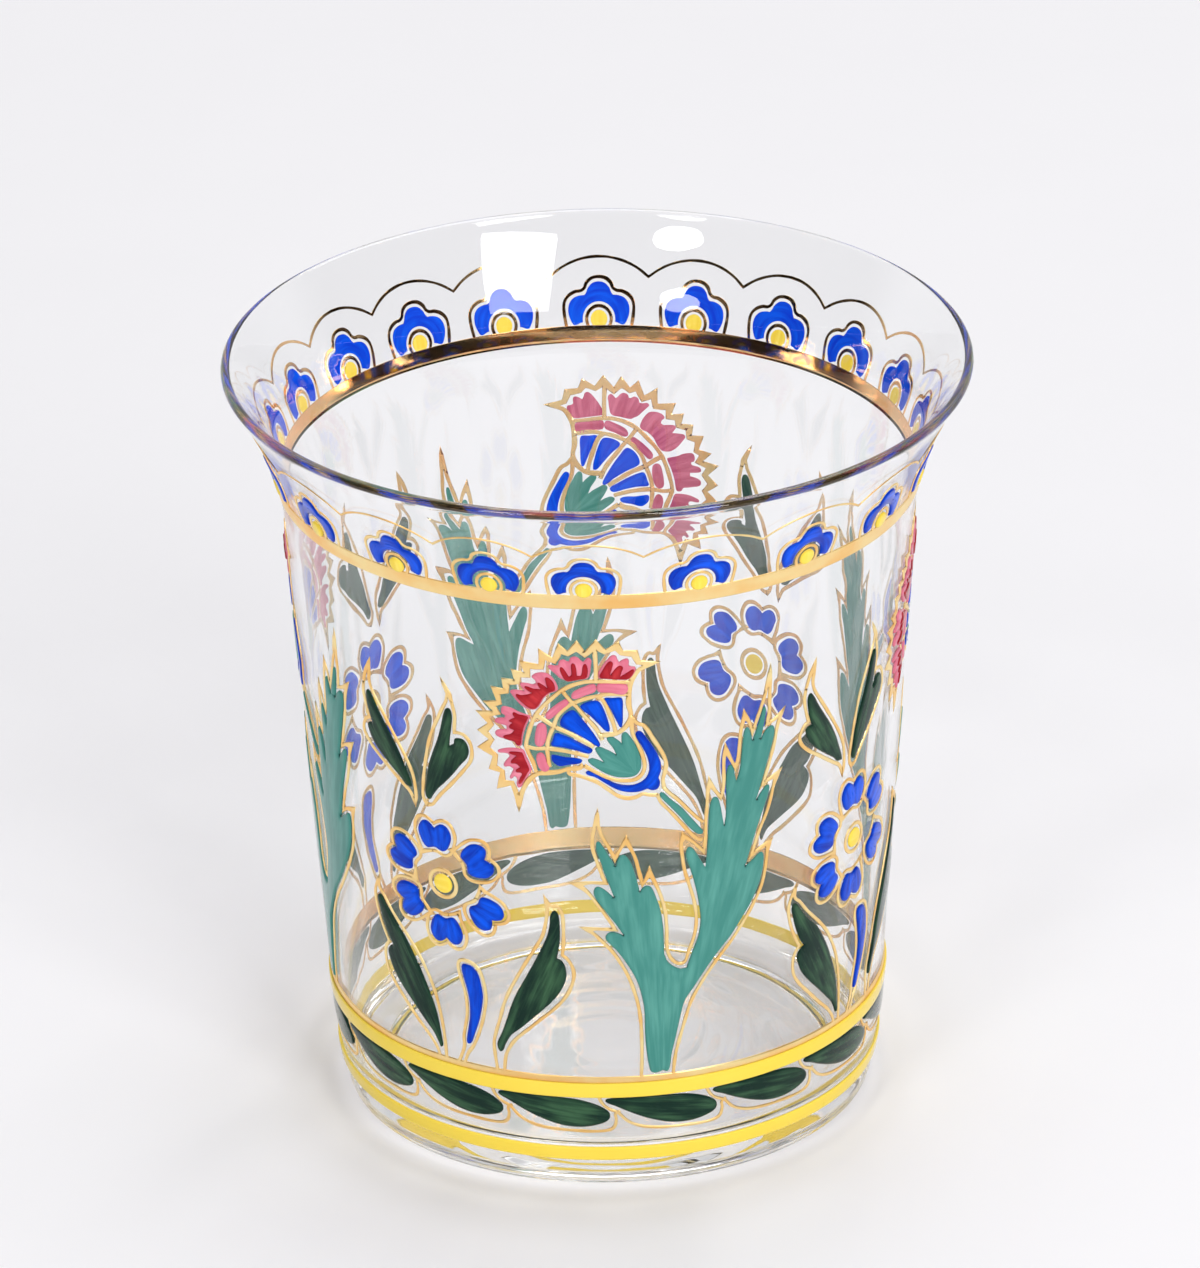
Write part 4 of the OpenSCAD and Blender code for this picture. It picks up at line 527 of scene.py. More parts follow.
def circle(radius, x, z):
    turns = [ROUND * k / CIRCLE_STEPS for k in range(CIRCLE_STEPS)]
    return np.array([(x + radius * math.sin(a), z + radius * math.cos(a)) for a in turns])


def ring(radius, x, z, width):
    return [circle(radius + width / 2, x, z), circle(radius - width / 2, x, z)]


def clockwise(loop):
    x, z = loop.T
    return loop if (x * np.roll(z, -1) - z * np.roll(x, -1)).sum() < 0 else loop[::-1]


# Flat sheets filled from outlines

def inside(points, loop):
    """Whether each point lies inside a loop. Where it crosses itself, turned-over parts are outside."""
    x, y = points[:, 0, None], points[:, 1, None]
    a, b = loop, np.roll(loop, -1, axis=0)
    up = (a[:, 1] <= y) & (b[:, 1] > y)
    down = (a[:, 1] > y) & (b[:, 1] <= y)
    rise = np.where(b[:, 1] == a[:, 1], 1, b[:, 1] - a[:, 1])
    cross = x < (b[:, 0] - a[:, 0]) * (y - a[:, 1]) / rise + a[:, 0]
    turns = (up & cross).sum(1) - (down & cross).sum(1)
    area = (a[:, 0] * b[:, 1] - a[:, 1] * b[:, 0]).sum()
    return turns * np.sign(area) > 0


def depth(points, shapes):
    """How far inside the shapes each point lies, and 0 on their edges and outside."""
    deepest = np.zeros(len(points))
    for loops in shapes:
        low = np.min(loops[0], axis=0) - MARGIN
        high = np.max(loops[0], axis=0) + MARGIN
        near = np.where(((points > low) & (points < high)).all(1))[0]
        if len(near) == 0:
            continue
        spots = points[near]
        within = inside(spots, loops[0])
        for hole in loops[1:]:
            within &= ~inside(spots, hole)
        reach = np.min([distance(spots, loop) for loop in loops], axis=0)
        deepest[near] = np.maximum(deepest[near], np.where(within, reach, 0))
    return deepest


def stretch(loop, a, b):
    """The part of a loop from one of its points on to another."""
    return loop[a:b + 1] if a <= b else np.concatenate([loop[a:], loop[:b + 1]])


def halves(outer, inner):
    """The strip between two loops, as two outlines."""
    i = len(outer) // 2
    j, k = (int(np.argmin(np.linalg.norm(inner - outer[at], axis=1))) for at in (0, i))
    return [np.concatenate([stretch(outer, 0, i), stretch(inner, j, k)[::-1]]),
        np.concatenate([stretch(outer, i, len(outer) - 1), outer[:1], stretch(inner, k, j)[::-1]])]


def thinned(points, gap):
    """The points without those that share a cell of that size with another."""
    _, first = np.unique(np.round(points / gap).astype(int), axis=0, return_index=True)
    return points[np.sort(first)]


def lattice(low, high):
    """Points in rows between two corners, every other row shifted by half a step."""
    xs, zs = np.arange(low[0], high[0], LATTICE), np.arange(low[1], high[1], LATTICE)
    grid = np.stack(np.meshgrid(xs, zs), -1)
    grid[1::2, :, 0] += LATTICE / 2
    return grid.reshape(-1, 2)


def sheet(shapes, insets):
    """Points, depths and triangles of a flat sheet over shapes, each a loop or a loop and its hole."""
    shapes = [[clockwise(loop) for loop in loops] for loops in shapes]
    outlines, inner = [], []
    for loops in shapes:
        outlines += halves(*loops) if len(loops) > 1 else loops
        for number, loop in enumerate(loops):
            inner += [edge(loop, -inset if number == 0 else inset, True) for inset in insets]
    points = [p for outline in outlines for p in outline]
    starts = np.cumsum([0] + [len(outline) for outline in outlines])
    faces = [list(range(a, b)) for a, b in zip(starts, starts[1:])]
    inner = np.concatenate(inner)
    inner = inner[depth(inner, shapes) > insets[0] * INSET_CLEAR]
    grid = lattice(np.min(points, axis=0), np.max(points, axis=0))
    grid = grid[depth(grid, shapes) > insets[-1] * LATTICE_CLEAR]
    spots = [Vector(p) for group in (points, thinned(inner, CELL), grid) for p in group]
    verts, _, tris, _, _, _ = delaunay_2d_cdt(spots, [], faces, 1, MERGE)
    verts = np.array([tuple(v) for v in verts])
    tris = np.array([tri for tri in tris if len(set(tri)) == 3])
    filled = depth(verts[tris].mean(1), shapes) > ON_EDGE
    return verts, depth(verts, shapes), tris[filled].tolist()


# Coats of paint

def rounded(reach, edge_w):
    """Height of a rounded edge as a share of the full height, from how far inside the edge a point lies."""
    s = np.clip(reach / edge_w, 0, 1)
    return np.sqrt(1 - (1 - s) ** 2)


def coat(reach, thick, rises):
    """Height of a coat, from how far inside its edge a point lies."""
    return thick * sum(share * rounded(reach, edge_w) for share, edge_w in rises)


def axis_of(loop):
    """Direction in which an outline is longest."""
    off = loop - loop.mean(0)
    return np.linalg.eigh(off.T @ off)[1][:, 1]


def brushed(points, reach, shapes, about, fan):
    """Where each point lies along its brush stroke, inside the shape's edge and across the stroke.

    The strokes run round the point about, out from the point fan, or else along each shape.
    """
    if about is not None or fan is not None:
        off = points - (about if fan is None else fan)
        far = np.linalg.norm(off, axis=1)
        round_it = np.arctan2(off[:, 0], off[:, 1]) * far.mean()
        return np.stack([round_it, reach, far] if fan is None else [far, reach, round_it], 1)
    middles = np.array([loops[0].mean(0) for loops in shapes])
    axes = np.array([axis_of(loops[0]) for loops in shapes])
    nearest = np.linalg.norm(points[:, None] - middles, axis=2).argmin(1)
    off = points - middles[nearest]
    axis = axes[nearest]
    across = off[:, 1] * axis[:, 0] - off[:, 0] * axis[:, 1] + STROKE_SHIFT * middles[nearest][:, 0]
    return np.stack([(off * axis).sum(1), reach, across], 1)


# Pieces

def piece(name, bm, finishes, node):
    """Makes a finished piece of a mesh, which stands for the node and rides with the glass."""
    mesh = bpy.data.meshes.new(name)
    bm.to_mesh(mesh)
    bm.free()
    mesh.shade_smooth()
    for finish in finishes:
        mesh.materials.append(finish)
    made = bpy.data.objects.new(name, mesh)
    bpy.context.scene.collection.objects.link(made)
    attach(made, "root")
    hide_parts(node)
    return made


def turned(profile, loose=False):
    """A bmesh of a profile of radii and heights turned round the axis."""
    bm = bmesh.new()
    verts = [bm.verts.new((r * MM, 0, z * MM)) for r, z in profile]
    for a, b in zip(verts, verts[1:]):
        bm.edges.new((a, b))
    if loose:
        bm.edges.new((verts[-1], verts[0]))
    bmesh.ops.spin(bm, geom=bm.verts[:] + bm.edges[:], cent=(0, 0, 0), axis=(0, 0, 1), angle=ROUND,
        steps=AROUND, use_merge=True)
    bmesh.ops.remove_doubles(bm, verts=bm.verts[:], dist=WELD)
    bmesh.ops.recalc_face_normals(bm, faces=bm.faces[:])
    return bm


def band(node, low, high, base, thick, finishes):
    """A painted band all the way round, with rounded edges and a slight wobble of the brush."""
    width = high - low
    back_z = base / 2 if base else -BAND_SINK
    rises = [(share, edge_w or width / 2) for share, edge_w in BAND_RISES]
    top = []
    for s in BAND_SHARES:
        rise = coat(np.array(min(s, 1 - s) * width), thick, rises)
        z = low + s * width
        top.append((wall_r(z) + (base + rise if 0 < s < 1 else back_z), z))
    back = [(wall_r(low + s * width) + back_z - BAND_LEAN * (1 - s), low + s * width)
        for s in BAND_BACK_SHARES]
    bm = turned(top + back, loose=True)
    centre = (low + high) / 2 * MM
    for v in bm.verts:
        a = math.atan2(v.co.y, v.co.x)
        side = (v.co.z - centre) / (width * MM / 2)
        waver = BAND_WAVER * math.sin(3 * a + low) + BAND_SHIVER * math.sin(7 * a + 2 * side + high)
        v.co.z += side * waver * MM * (1 - abs(side)) if abs(side) < 1 else side * waver * MM
    for face in bm.faces:
        mid = face.calc_center_median()
        if math.hypot(mid.x, mid.y) / MM < wall_r(mid.z / MM) + back_z + BAND_BACK_T:
            face.material_index = len(finishes) - 1
    return piece("fired_" + node, bm, finishes, node)


def raised(points, tris, tall, lows, marks, back_index):
    """A flat motif as a closed bmesh: its sheet at the coat's height, and a reversed copy as its back."""
    flat = bmesh.new()
    stroke = flat.verts.layers.float_vector.new("stroke")
    lowest = flat.verts.layers.float.new("lowest")
    verts = []
    for point, top, low, mark in zip(points, tall, lows, marks):
        v = flat.verts.new((point[0], point[1], top))
        v[stroke], v[lowest] = mark.tolist(), low
        verts.append(v)
    for tri in tris:
        flat.faces.new([verts[i] for i in tri])
    bmesh.ops.delete(flat, geom=[v for v in flat.verts if not v.link_faces], context="VERTS")
    for face in flat.faces:
        face.normal_update()
        if face.normal.z < 0:
            face.normal_flip()
    back = bmesh.ops.duplicate(flat, geom=flat.verts[:] + flat.edges[:] + flat.faces[:])["geom"]
    back_faces = [g for g in back if isinstance(g, bmesh.types.BMFace)]
    for v in (g for g in back if isinstance(g, bmesh.types.BMVert)):
        v.co.z = v[lowest]
    bmesh.ops.reverse_faces(flat, faces=back_faces)
    for face in back_faces:
        face.material_index = back_index
    bmesh.ops.remove_doubles(flat, verts=flat.verts[:], dist=WELD)
    flat.verts.layers.float.remove(lowest)
    return flat


def bend_on(bm, flat, arc_r, turn, shift):
    """Adds a flat motif to a bmesh, bent onto the wall at a turn, its brush marks shifted."""
    copy = flat.copy()
    layer = copy.verts.layers.float_vector["stroke"]
    for v in copy.verts:
        x, z, top = v.co
        angle = math.radians(turn) + x / arc_r
        r = (wall_r(z) + top) * MM
        v.co = (r * math.sin(angle), -r * math.cos(angle), z * MM)
        v[layer] = v[layer] + Vector((0, 0, shift))
    mesh = bpy.data.meshes.new("motif")
    copy.to_mesh(mesh)
    copy.free()
    bm.from_mesh(mesh)
    bpy.data.meshes.remove(mesh)


def painted(node, motifs, rises, thick, finishes, slot, insets, beneath=None, about=None, fan=None):
    """A painted piece: each motif is raised from a flat sheet, then bent onto the wall at its turns."""
    bm = bmesh.new()
    bm.verts.layers.float_vector.new("stroke")
    for shapes, arc_r, turns in motifs:
        points, reach, tris = sheet(shapes, insets)
        ground = np.zeros(len(points))
        lows = np.full(len(points), -SINK)
        if beneath:
            under = depth(points, beneath)
            ground = coat(under + COAT_LAP, ENAMEL_T, ENAMEL_RISES)
            lows = np.maximum(coat(under, ENAMEL_T, ENAMEL_RISES) - 2 * SINK, -SINK)
        tall = np.where(reach > MERGE, ground + coat(reach, thick, rises), lows)
        marks = brushed(points, reach, shapes, about, fan)
        flat = raised(points, tris, tall, lows, marks, len(finishes) - 1)
        for number, turn in enumerate(turns):
            bend_on(bm, flat, arc_r, turn, REPEAT_SHIFT * number)
        flat.free()
    return piece("fired_" + node, bm, finishes, node)


# Finishes

class Amount:
    """A number in a finish, worked out by its Math nodes."""

    def __init__(self, finish, socket):
        self.finish, self.socket = finish, socket

    def math(self, operation, *others):
        values = dict(enumerate((self,) + others))
        return self.finish.node("ShaderNodeMath", {"operation": operation}, values)[0]

    def __add__(self, other):
        return self.math("ADD", other)

    __radd__ = __add__

    def __sub__(self, other):
        return self.math("SUBTRACT", other)

    def __rsub__(self, other):
        return self.math("MULTIPLY", -1).math("ADD", other)

    def __mul__(self, other):
        return self.math("MULTIPLY", other)

    __rmul__ = __mul__

    def __pow__(self, other):
        return self.math("POWER", other)

    def between(self, low, high):
        """0 below low and 1 above high, with a soft step between."""
        return self.finish.node("ShaderNodeMapRange", {"interpolation_type": "SMOOTHSTEP"},
            {"Value": self, "From Min": low, "From Max": high})[0]


class Outputs:
    """A node's outputs, the numbers among them as Amounts."""

    def __init__(self, finish, made):
        self.finish, self.made = finish, made

    def __getitem__(self, name):
        socket = self.made.outputs[name]
        return Amount(self.finish, socket) if socket.type == "VALUE" else socket


class Finish:
    """The node tree of a material or of the studio's world."""

    def __init__(self, holder):
        self.holder = holder
        holder.use_nodes = True
        self.tree = holder.node_tree
        self.tree.nodes.clear()

    def node(self, kind, settings=None, values=None):
        """Adds a node with its settings, and sets or links its sockets."""
        made = self.tree.nodes.new(kind)
        for name, value in (settings or {}).items():
            setattr(made, name, value)
        for name, value in (values or {}).items():
            socket = made.inputs[name]
            if isinstance(value, Amount):
                self.tree.links.new(value.socket, socket)
            elif isinstance(value, bpy.types.NodeSocket):
                self.tree.links.new(value, socket)
            else:
                socket.default_value = value
        return Outputs(self, made)

    def mix(self, amount, first, second):
        """A colour between two others."""
        made = self.node("ShaderNodeMix", {"data_type": "RGBA"}, {0: amount, 6: first, 7: second})
        return made[2]

    def noise(self, place, scale, detail=2.0):
        return self.node("ShaderNodeTexNoise", {}, {"Vector": place, "Scale": scale, "Detail": detail})[0]

    def stretched(self, place, scale, shift=(0, 0, 0)):
        values = {"Vector": place, "Location": shift, "Scale": scale}
        return self.node("ShaderNodeMapping", {}, values)["Vector"]

    def bump(self, strength, distance_m, height):
        values = {"Strength": strength, "Distance": distance_m, "Height": height}
        return self.node("ShaderNodeBump", {}, values)["Normal"]

    def place(self):
        """Where a point lies on the glass, in metres."""
        return self.node("ShaderNodeTexCoord")["Object"]

    def stroke(self):
        """Where a point lies along its brush stroke, inside its edge and across it, in millimetres."""
        return self.node("ShaderNodeAttribute", {"attribute_name": "stroke"})["Vector"]

    def done(self, shader, output="ShaderNodeOutputMaterial"):
        self.node(output, {}, {"Surface": shader})
        return self.holder

    def principled(self, **values):
        """A Principled shader; an underscore in a socket's name stands for a space."""
        sockets = {name.replace("_", " "): value for name, value in values.items()}
        return self.node("ShaderNodeBsdfPrincipled", {}, sockets)["BSDF"]


def rgb(red, green, blue):
    """A colour as Blender takes it, from its values on a screen."""
    parts = [c / 255 for c in (red, green, blue)]
    return tuple(c / 12.92 if c <= 0.04045 else ((c + 0.055) / 1.055) ** 2.4 for c in parts) + (1.0,)


# Grain of the finishes: marks per millimetre along, in from the edge and across a stroke, or per metre
BROAD_STROKE = (0.18, 0.25, 1.25)
FINE_STROKE = (0.3, 0.4, 5.0)
FIRST_STROKE = (0.25, 0.0, 2.2)
FIRST_STROKE_SHIFT = (5.0, 0.0, 0.0)
POOL_GRAIN = 150.0
BACK_POOL_GRAIN = 240.0
ENAMEL_SPECKS = 900.0
ENAMEL_RELIEF_M = 0.00012
POOLED_EDGE = 0.5
GILT_TONE_GRAIN = 210.0
GILT_PATCHES = (60.0, 60.0, 420.0)
GILT_SPECKS = 2600.0
GILT_RELIEF_M = 0.00005
GLASS_WAVES = (55.0, 55.0, 9.0)
GLASS_RIPPLES = 190.0
GLASS_RELIEF_M = 0.0004
TABLE_GRAIN = 40.0


def enamel(name, deep, light, low=0.42, high=0.7, shine=0.3):
    """Fired enamel laid on with a brush: streaks along the stroke, deeper where it pooled at the edge."""
    f = Finish(bpy.data.materials.new(name))
    stroke, place = f.stroke(), f.place()
    edge_of = f.node("ShaderNodeSeparateXYZ", {}, {0: stroke})["Y"].between(0.0, POOLED_EDGE)
    brush = f.noise(f.stretched(stroke, BROAD_STROKE), 1.0)
    fine = f.noise(f.stretched(stroke, FINE_STROKE), 1.0)
    pool = f.noise(place, POOL_GRAIN)
    speck = f.noise(place, ENAMEL_SPECKS)
    tone = (brush * 0.62 + fine * 0.14 + pool * 0.24).between(low, high) * (0.35 + edge_of * 0.65)
    relief = f.bump(0.3, ENAMEL_RELIEF_M, brush * 0.55 + fine * 0.3 + speck * 0.08)
    facing = f.node("ShaderNodeLayerWeight", {}, {"Blend": 0.5, "Normal": relief})["Facing"]
    return f.done(f.principled(Base_Color=f.mix(tone, deep, light), Normal=relief,
        Roughness=shine + (speck - 0.5) * 0.14 + (fine - 0.5) * 0.1, Specular_IOR_Level=0.06,
        Coat_Weight=0.07 + (facing ** 2.0) * 0.93, Coat_Roughness=0.07))


def enamel_back(name, deep, light):
    """Enamel as it shows through the glass: even, bright, with faint marks of the first strokes."""
    f = Finish(bpy.data.materials.new(name))
    brush = f.noise(f.stretched(f.stroke(), FIRST_STROKE, FIRST_STROKE_SHIFT), 1.0, 3.0)
    pool = f.noise(f.place(), BACK_POOL_GRAIN, 3.0)
    tone = (brush * 0.75 + pool * 0.25).between(0.36, 0.68)
    return f.done(f.principled(Base_Color=f.mix(tone, deep, light), Roughness=0.5 + (pool - 0.5) * 0.2,
        Specular_IOR_Level=0.1))


def gilt(name, deep, light, shine, grain, relief):
    """Burnished liquid gold: tones from thin to thick, and a fine grain from the firing."""
    f = Finish(bpy.data.materials.new(name))
    place = f.place()
    tone = f.noise(place, GILT_TONE_GRAIN, 3.0)
    patch = f.noise(f.stretched(place, GILT_PATCHES), 1.0)
    speck = f.noise(place, GILT_SPECKS)
    amount = (tone * 0.55 + patch * 0.45).between(0.3, 0.68)
    return f.done(f.principled(Base_Color=f.mix(amount, deep, light), Metallic=1.0,
        Roughness=shine + (speck - 0.5) * grain,
        Normal=f.bump(relief, GILT_RELIEF_M, speck * 0.4 + tone * 0.6)))


def clear_glass():
    """Blown soda glass, slightly wavy; lamps light what is behind it through a clear stand-in."""
    f = Finish(bpy.data.materials.new("clear_blown_glass"))
    place = f.place()
    long = f.noise(f.stretched(place, GLASS_WAVES), 1.0)
    small = f.noise(place, GLASS_RIPPLES, 1.0)
    body = f.principled(Base_Color=f.mix(long, rgb(253, 254, 254), rgb(255, 255, 255)), Roughness=0.0,
        IOR=1.5, Transmission_Weight=1.0, Normal=f.bump(0.12, GLASS_RELIEF_M, long * 0.8 + small * 0.2))
    facing = f.node("ShaderNodeLayerWeight", {}, {"Blend": 0.35})["Facing"]
    shade = f.mix(facing ** 3.0, rgb(255, 255, 255), rgb(224, 223, 226))
    through = f.node("ShaderNodeBsdfTransparent", {}, {"Color": shade})["BSDF"]
    rays = f.node("ShaderNodeLightPath")
    lit = rays["Is Shadow Ray"].math("MAXIMUM", rays["Is Diffuse Ray"])
    return f.done(f.node("ShaderNodeMixShader", {}, {0: lit, 1: body, 2: through})["Shader"])


def enamel_pair(colour, deep, light, deep_back, light_back, **more):
    """An enamel as it shows in front, and as it shows through the glass."""
    return [enamel(colour + "_enamel", deep, light, **more),
        enamel_back(colour + "_enamel_back", deep_back, light_back)]


GLASS = clear_glass()
GILT = gilt("fired_gilt", rgb(252, 199, 118), rgb(255, 231, 168), 0.36, 0.14, 0.3)
GILT_BACK = gilt("gilt_through_glass", rgb(255, 194, 134), rgb(255, 226, 170), 0.26, 0.04, 0.03)
GILT_MIRROR = gilt("rim_gilt_through_glass", rgb(255, 192, 132), rgb(255, 222, 168), 0.055, 0.02, 0.06)
ENAMELS = {
    "blue": enamel_pair("blue", rgb(0, 46, 168), rgb(0, 88, 234), rgb(0, 58, 207), rgb(0, 90, 233),
        low=0.34, high=0.64),
    "teal": enamel_pair("teal", rgb(66, 133, 124), rgb(92, 158, 147), rgb(70, 132, 122), rgb(100, 156, 146),
        low=0.36, high=0.72, shine=0.34),
    "green": enamel_pair("green", rgb(18, 44, 36), rgb(62, 99, 70), rgb(42, 70, 60), rgb(78, 104, 90),
        low=0.4, high=0.7, shine=0.26),
    "pink": enamel_pair("pink", rgb(212, 112, 134), rgb(238, 146, 164), rgb(180, 84, 112),
        rgb(208, 118, 142)),
    "red": [enamel("red_enamel", rgb(152, 24, 36), rgb(200, 56, 62))],
    "yellow": enamel_pair("yellow", rgb(244, 214, 78), rgb(252, 228, 110), rgb(244, 210, 70),
        rgb(252, 226, 100))}


# The glass body
def glass_body():
    """The glass as one profile: under the foot, up the outside, over the lip and down the inside."""
    heel = [HEEL_H * (1 - math.cos(math.pi / 2 * k / HEEL_STEPS)) for k in range(HEEL_STEPS + 1)]
    straight = [HEEL_H + (NECK_H - HEEL_H) * k / WALL_STEPS for k in range(1, WALL_STEPS)]
    flare = [NECK_H + (LIP_Z - NECK_H) * k / WALL_STEPS for k in range(WALL_STEPS + 1)]
    zs = heel + straight + flare
    lip_mid = GLASS_H - LIP_EDGE_R
    outer = [(wall_r(z), z) for z in zs if z < lip_mid - LIP_EDGE_R * math.sin(LIP_LEAN) - LIP_CLEAR]
    turns = [math.pi * k / LIP_STEPS - LIP_LEAN for k in range(LIP_STEPS + 1)]
    lip = [(RIM_R + LIP_EDGE_R * (math.cos(a) - 1), lip_mid + LIP_EDGE_R * math.sin(a)) for a in turns]
    corner_z = FLOOR_T + FLOOR_ROUND
    thin = 2 * LIP_EDGE_R / math.cos(LIP_LEAN) - WALL_T
    inner = [(wall_r(z) - WALL_T - thin * max(0, (z - NECK_H) / (lip_mid - NECK_H)) ** LIP_THINNING, z)
        for z in reversed(zs) if corner_z < z < lip_mid - LIP_EDGE_R / 2]
    corner_r = wall_r(corner_z) - WALL_T - FLOOR_ROUND
    turns = [math.pi / 2 * k / CORNER_STEPS for k in range(CORNER_STEPS + 1)]
    corner = [(corner_r + FLOOR_ROUND * math.cos(a), corner_z - FLOOR_ROUND * math.sin(a)) for a in turns]
    floor = [(corner_r * (1 - k / FLOOR_STEPS), FLOOR_T + FLOOR_WAVE * math.sin(math.pi * k / FLOOR_STEPS)
        * math.sin(ROUND * FLOOR_WAVES * k / FLOOR_STEPS)) for k in range(1, FLOOR_STEPS)] + [(0, FLOOR_T)]
    ring_r = FOOT_R - FOOT_RING_W
    flat_r = ring_r - FOOT_HOLLOW
    under = [(flat_r * k / UNDER_STEPS, FOOT_HOLLOW) for k in range(UNDER_STEPS + 1)]
    foot = [(ring_r + out, z) for out, z in RING_EDGE]
    profile = under + foot + outer + lip + inner + corner + floor
    return piece("blown_glass", turned(profile), [GLASS], "glass_body")


def enamelled(node, motifs, colour, thick=ENAMEL_T, **more):
    return painted(node, motifs, ENAMEL_RISES, thick, ENAMELS[colour], colour + "_enamel", FILL, **more)


def gilded(node, motifs, insets=LINE, back=GILT_BACK):
    return painted(node, motifs, GILT_RISES, GILT_T, [GILT, back], "gilt", insets)


glass_body()
band("rim_gilt_band", RIM_BAND_TOP - RIM_BAND_W, RIM_BAND_TOP, 0, GILT_T, [GILT, GILT_MIRROR])
band("base_gilt_band", BASE_BAND_H, BASE_BAND_TOP, 0, GILT_T, [GILT, GILT_BACK])

# Florets and scallops under the lip
floret_arc_r = wall_r(RIM_BAND_TOP + FLORET_H / 2)
floret_dot_z = RIM_BAND_TOP + FLORET_DOT_RISE
floret_arch_r = FLORET_DOT_R + FLORET_ARCH_GAP + FINE_LINE_W / 2
floret_dot_at = np.array([0, floret_dot_z])


def floret_petal():
    """The floret's outline, its foot cut away in a round arch over the dot."""
    outline = smooth(mirrored(sized(FLORET_HALF, FLORET_W, FLORET_H, RIM_BAND_TOP)))
    reach = floret_arch_r + FINE_LINE_W / 2 + FLORET_ARCH_GAP
    kept = outline[np.linalg.norm(outline - floret_dot_at, axis=1) > reach]
    gaps = np.linalg.norm(np.roll(kept, -1, axis=0) - kept, axis=1)
    kept = np.roll(kept, -(int(np.argmax(gaps)) + 1), axis=0)
    start, end = (math.atan2(*(p - floret_dot_at)) for p in (kept[-1], kept[0]))
    arch = [floret_dot_at + reach * np.array([math.sin(a), math.cos(a)])
        for a in np.linspace(start, end, ARCH_STEPS + 1)]
    return np.concatenate([kept, arch[1:-1]])


def scallops():
    """A line of arches that meet in points between the florets, in strokes that join at an arch's top."""
    z = RIM_BAND_TOP + SCALLOP_RISE
    arc_r = wall_r(z + SCALLOP_ARCH)
    turns = FLORET_TURNS + [t + 360 for t in FLORET_TURNS]
    meets = [math.radians((a + b) / 2) * arc_r for a, b in zip(turns, turns[1:])]
    arches = []
    for a, b in zip(meets, meets[1:]):
        half = (b - a) / 2
        arch_r = (half ** 2 + SCALLOP_ARCH ** 2) / (2 * SCALLOP_ARCH)
        spread = math.asin(half / arch_r)
        arch = [((a + b) / 2 + arch_r * math.sin(t), z + SCALLOP_ARCH - arch_r + arch_r * math.cos(t))
            for t in np.linspace(-spread, spread, SCALLOP_STEPS + 1)[:-1]]
        arches.append([arch[0] + (1,)] + arch[1:])
    top = SCALLOP_STEPS // 2
    strokes = []
    for first in range(0, len(FLORET_TURNS), STROKE_ARCHES):
        path = [p for arch in arches[first:first + STROKE_ARCHES + 1] for p in arch][top:1 - top]
        path[0] = (path[0][0] - JOIN_LAP, path[0][1])
        strokes.append(([ribbon(path, SCALLOP_LINE_W)], arc_r, [0]))
    return strokes


def florets(*shapes):
    return [(list(shapes), floret_arc_r, FLORET_TURNS)]


floret_line = mirrored(sized(FLORET_LINE_HALF, FLORET_W + 2 * FLORET_GAP + FINE_LINE_W,
    FLORET_H + FLORET_GAP + FINE_LINE_W / 2, RIM_BAND_TOP))
enamelled("floret_petals", florets([floret_petal()]), "blue", about=floret_dot_at)
enamelled("floret_dots", florets([circle(FLORET_DOT_R, 0, floret_dot_z)]), "yellow", GILT_T + ENAMEL_T)
gilded("floret_gilt_lines", florets(ribbon(floret_line, FINE_LINE_W),
    ring(floret_arch_r, 0, floret_dot_z, FINE_LINE_W)), FINE, GILT_MIRROR)
gilded("rim_scallop_line", scallops(), FINE, GILT_MIRROR)

# Yellow bands and the garland between them
band("base_yellow_band", BASE_BAND_H, BASE_BAND_H + BASE_YELLOW_W, GILT_T, ENAMEL_T,
    ENAMELS["yellow"][:1])
band("foot_yellow_band", FOOT_BAND_H, FOOT_BAND_H + FOOT_BAND_W, 0, ENAMEL_T,
    ENAMELS["yellow"])
garland_z = BASE_BAND_H - GARLAND_GAP - GARLAND_LEAF_H
garland_arc_r = wall_r(garland_z + GARLAND_LEAF_H / 2)
garland_l = ROUND * garland_arc_r / GARLAND_LEAVES + GARLAND_LAP
garland_turns = [GARLAND_TURN + 360 / GARLAND_LEAVES * k for k in range(GARLAND_LEAVES)]


def in_garland(points):
    return [(p[0] - garland_l / 2,) + p[1:] for p in sized(points, garland_l, GARLAND_LEAF_H, garland_z)]


enamelled("garland_leaves", [([[smooth(in_garland(GARLAND_LEAF))]], garland_arc_r, garland_turns)], "green")
gilded("garland_gilt_lines",
    [([ribbon(in_garland(GARLAND_LINE), FINE_LINE_W)], garland_arc_r, garland_turns)], FINE)


# The spray: forked leaf, carnation, rosette, leaves and bud
def spray(shapes):
    return [(shapes, PAINT_R, SPRAY_TURNS)]


def field(outlines):
    return spray([[smooth(in_field(points))] for points in outlines])


def fuller(outlines, spread):
    """Shapes of the spray laid on a little beyond their outlines."""
    return spray([[edge(clockwise(smooth(in_field(points))), spread, True)] for points in outlines])


def field_lines(paths, width=GILT_LINE_W, closed=False):
    return [ribbon(in_field(points), width, closed) for points in paths]


def petal_at(place, lean, shares, over=0.0):
    """A petal's outline at its place round the middle of the rosette."""
    place, lean = math.radians(place), math.radians(lean)
    x0, z0 = rosette_x + ROSETTE_R * math.sin(place), rosette_z + ROSETTE_R * math.cos(place)
    return [(x0 + p[0] * math.cos(lean) + p[1] * math.sin(lean),
        z0 + p[1] * math.cos(lean) - p[0] * math.sin(lean)) + p[2:]
        for p in sized(shares, PETAL_W + 2 * over, PETAL_H + 2 * over)]


saz_foot = np.array(in_field([SAZ_FAN])[0])
enamelled("saz_leaves", field([SAZ_LEAF]), "teal", fan=saz_foot)
gilded("saz_gilt_lines", spray(field_lines([SAZ_GILT])))

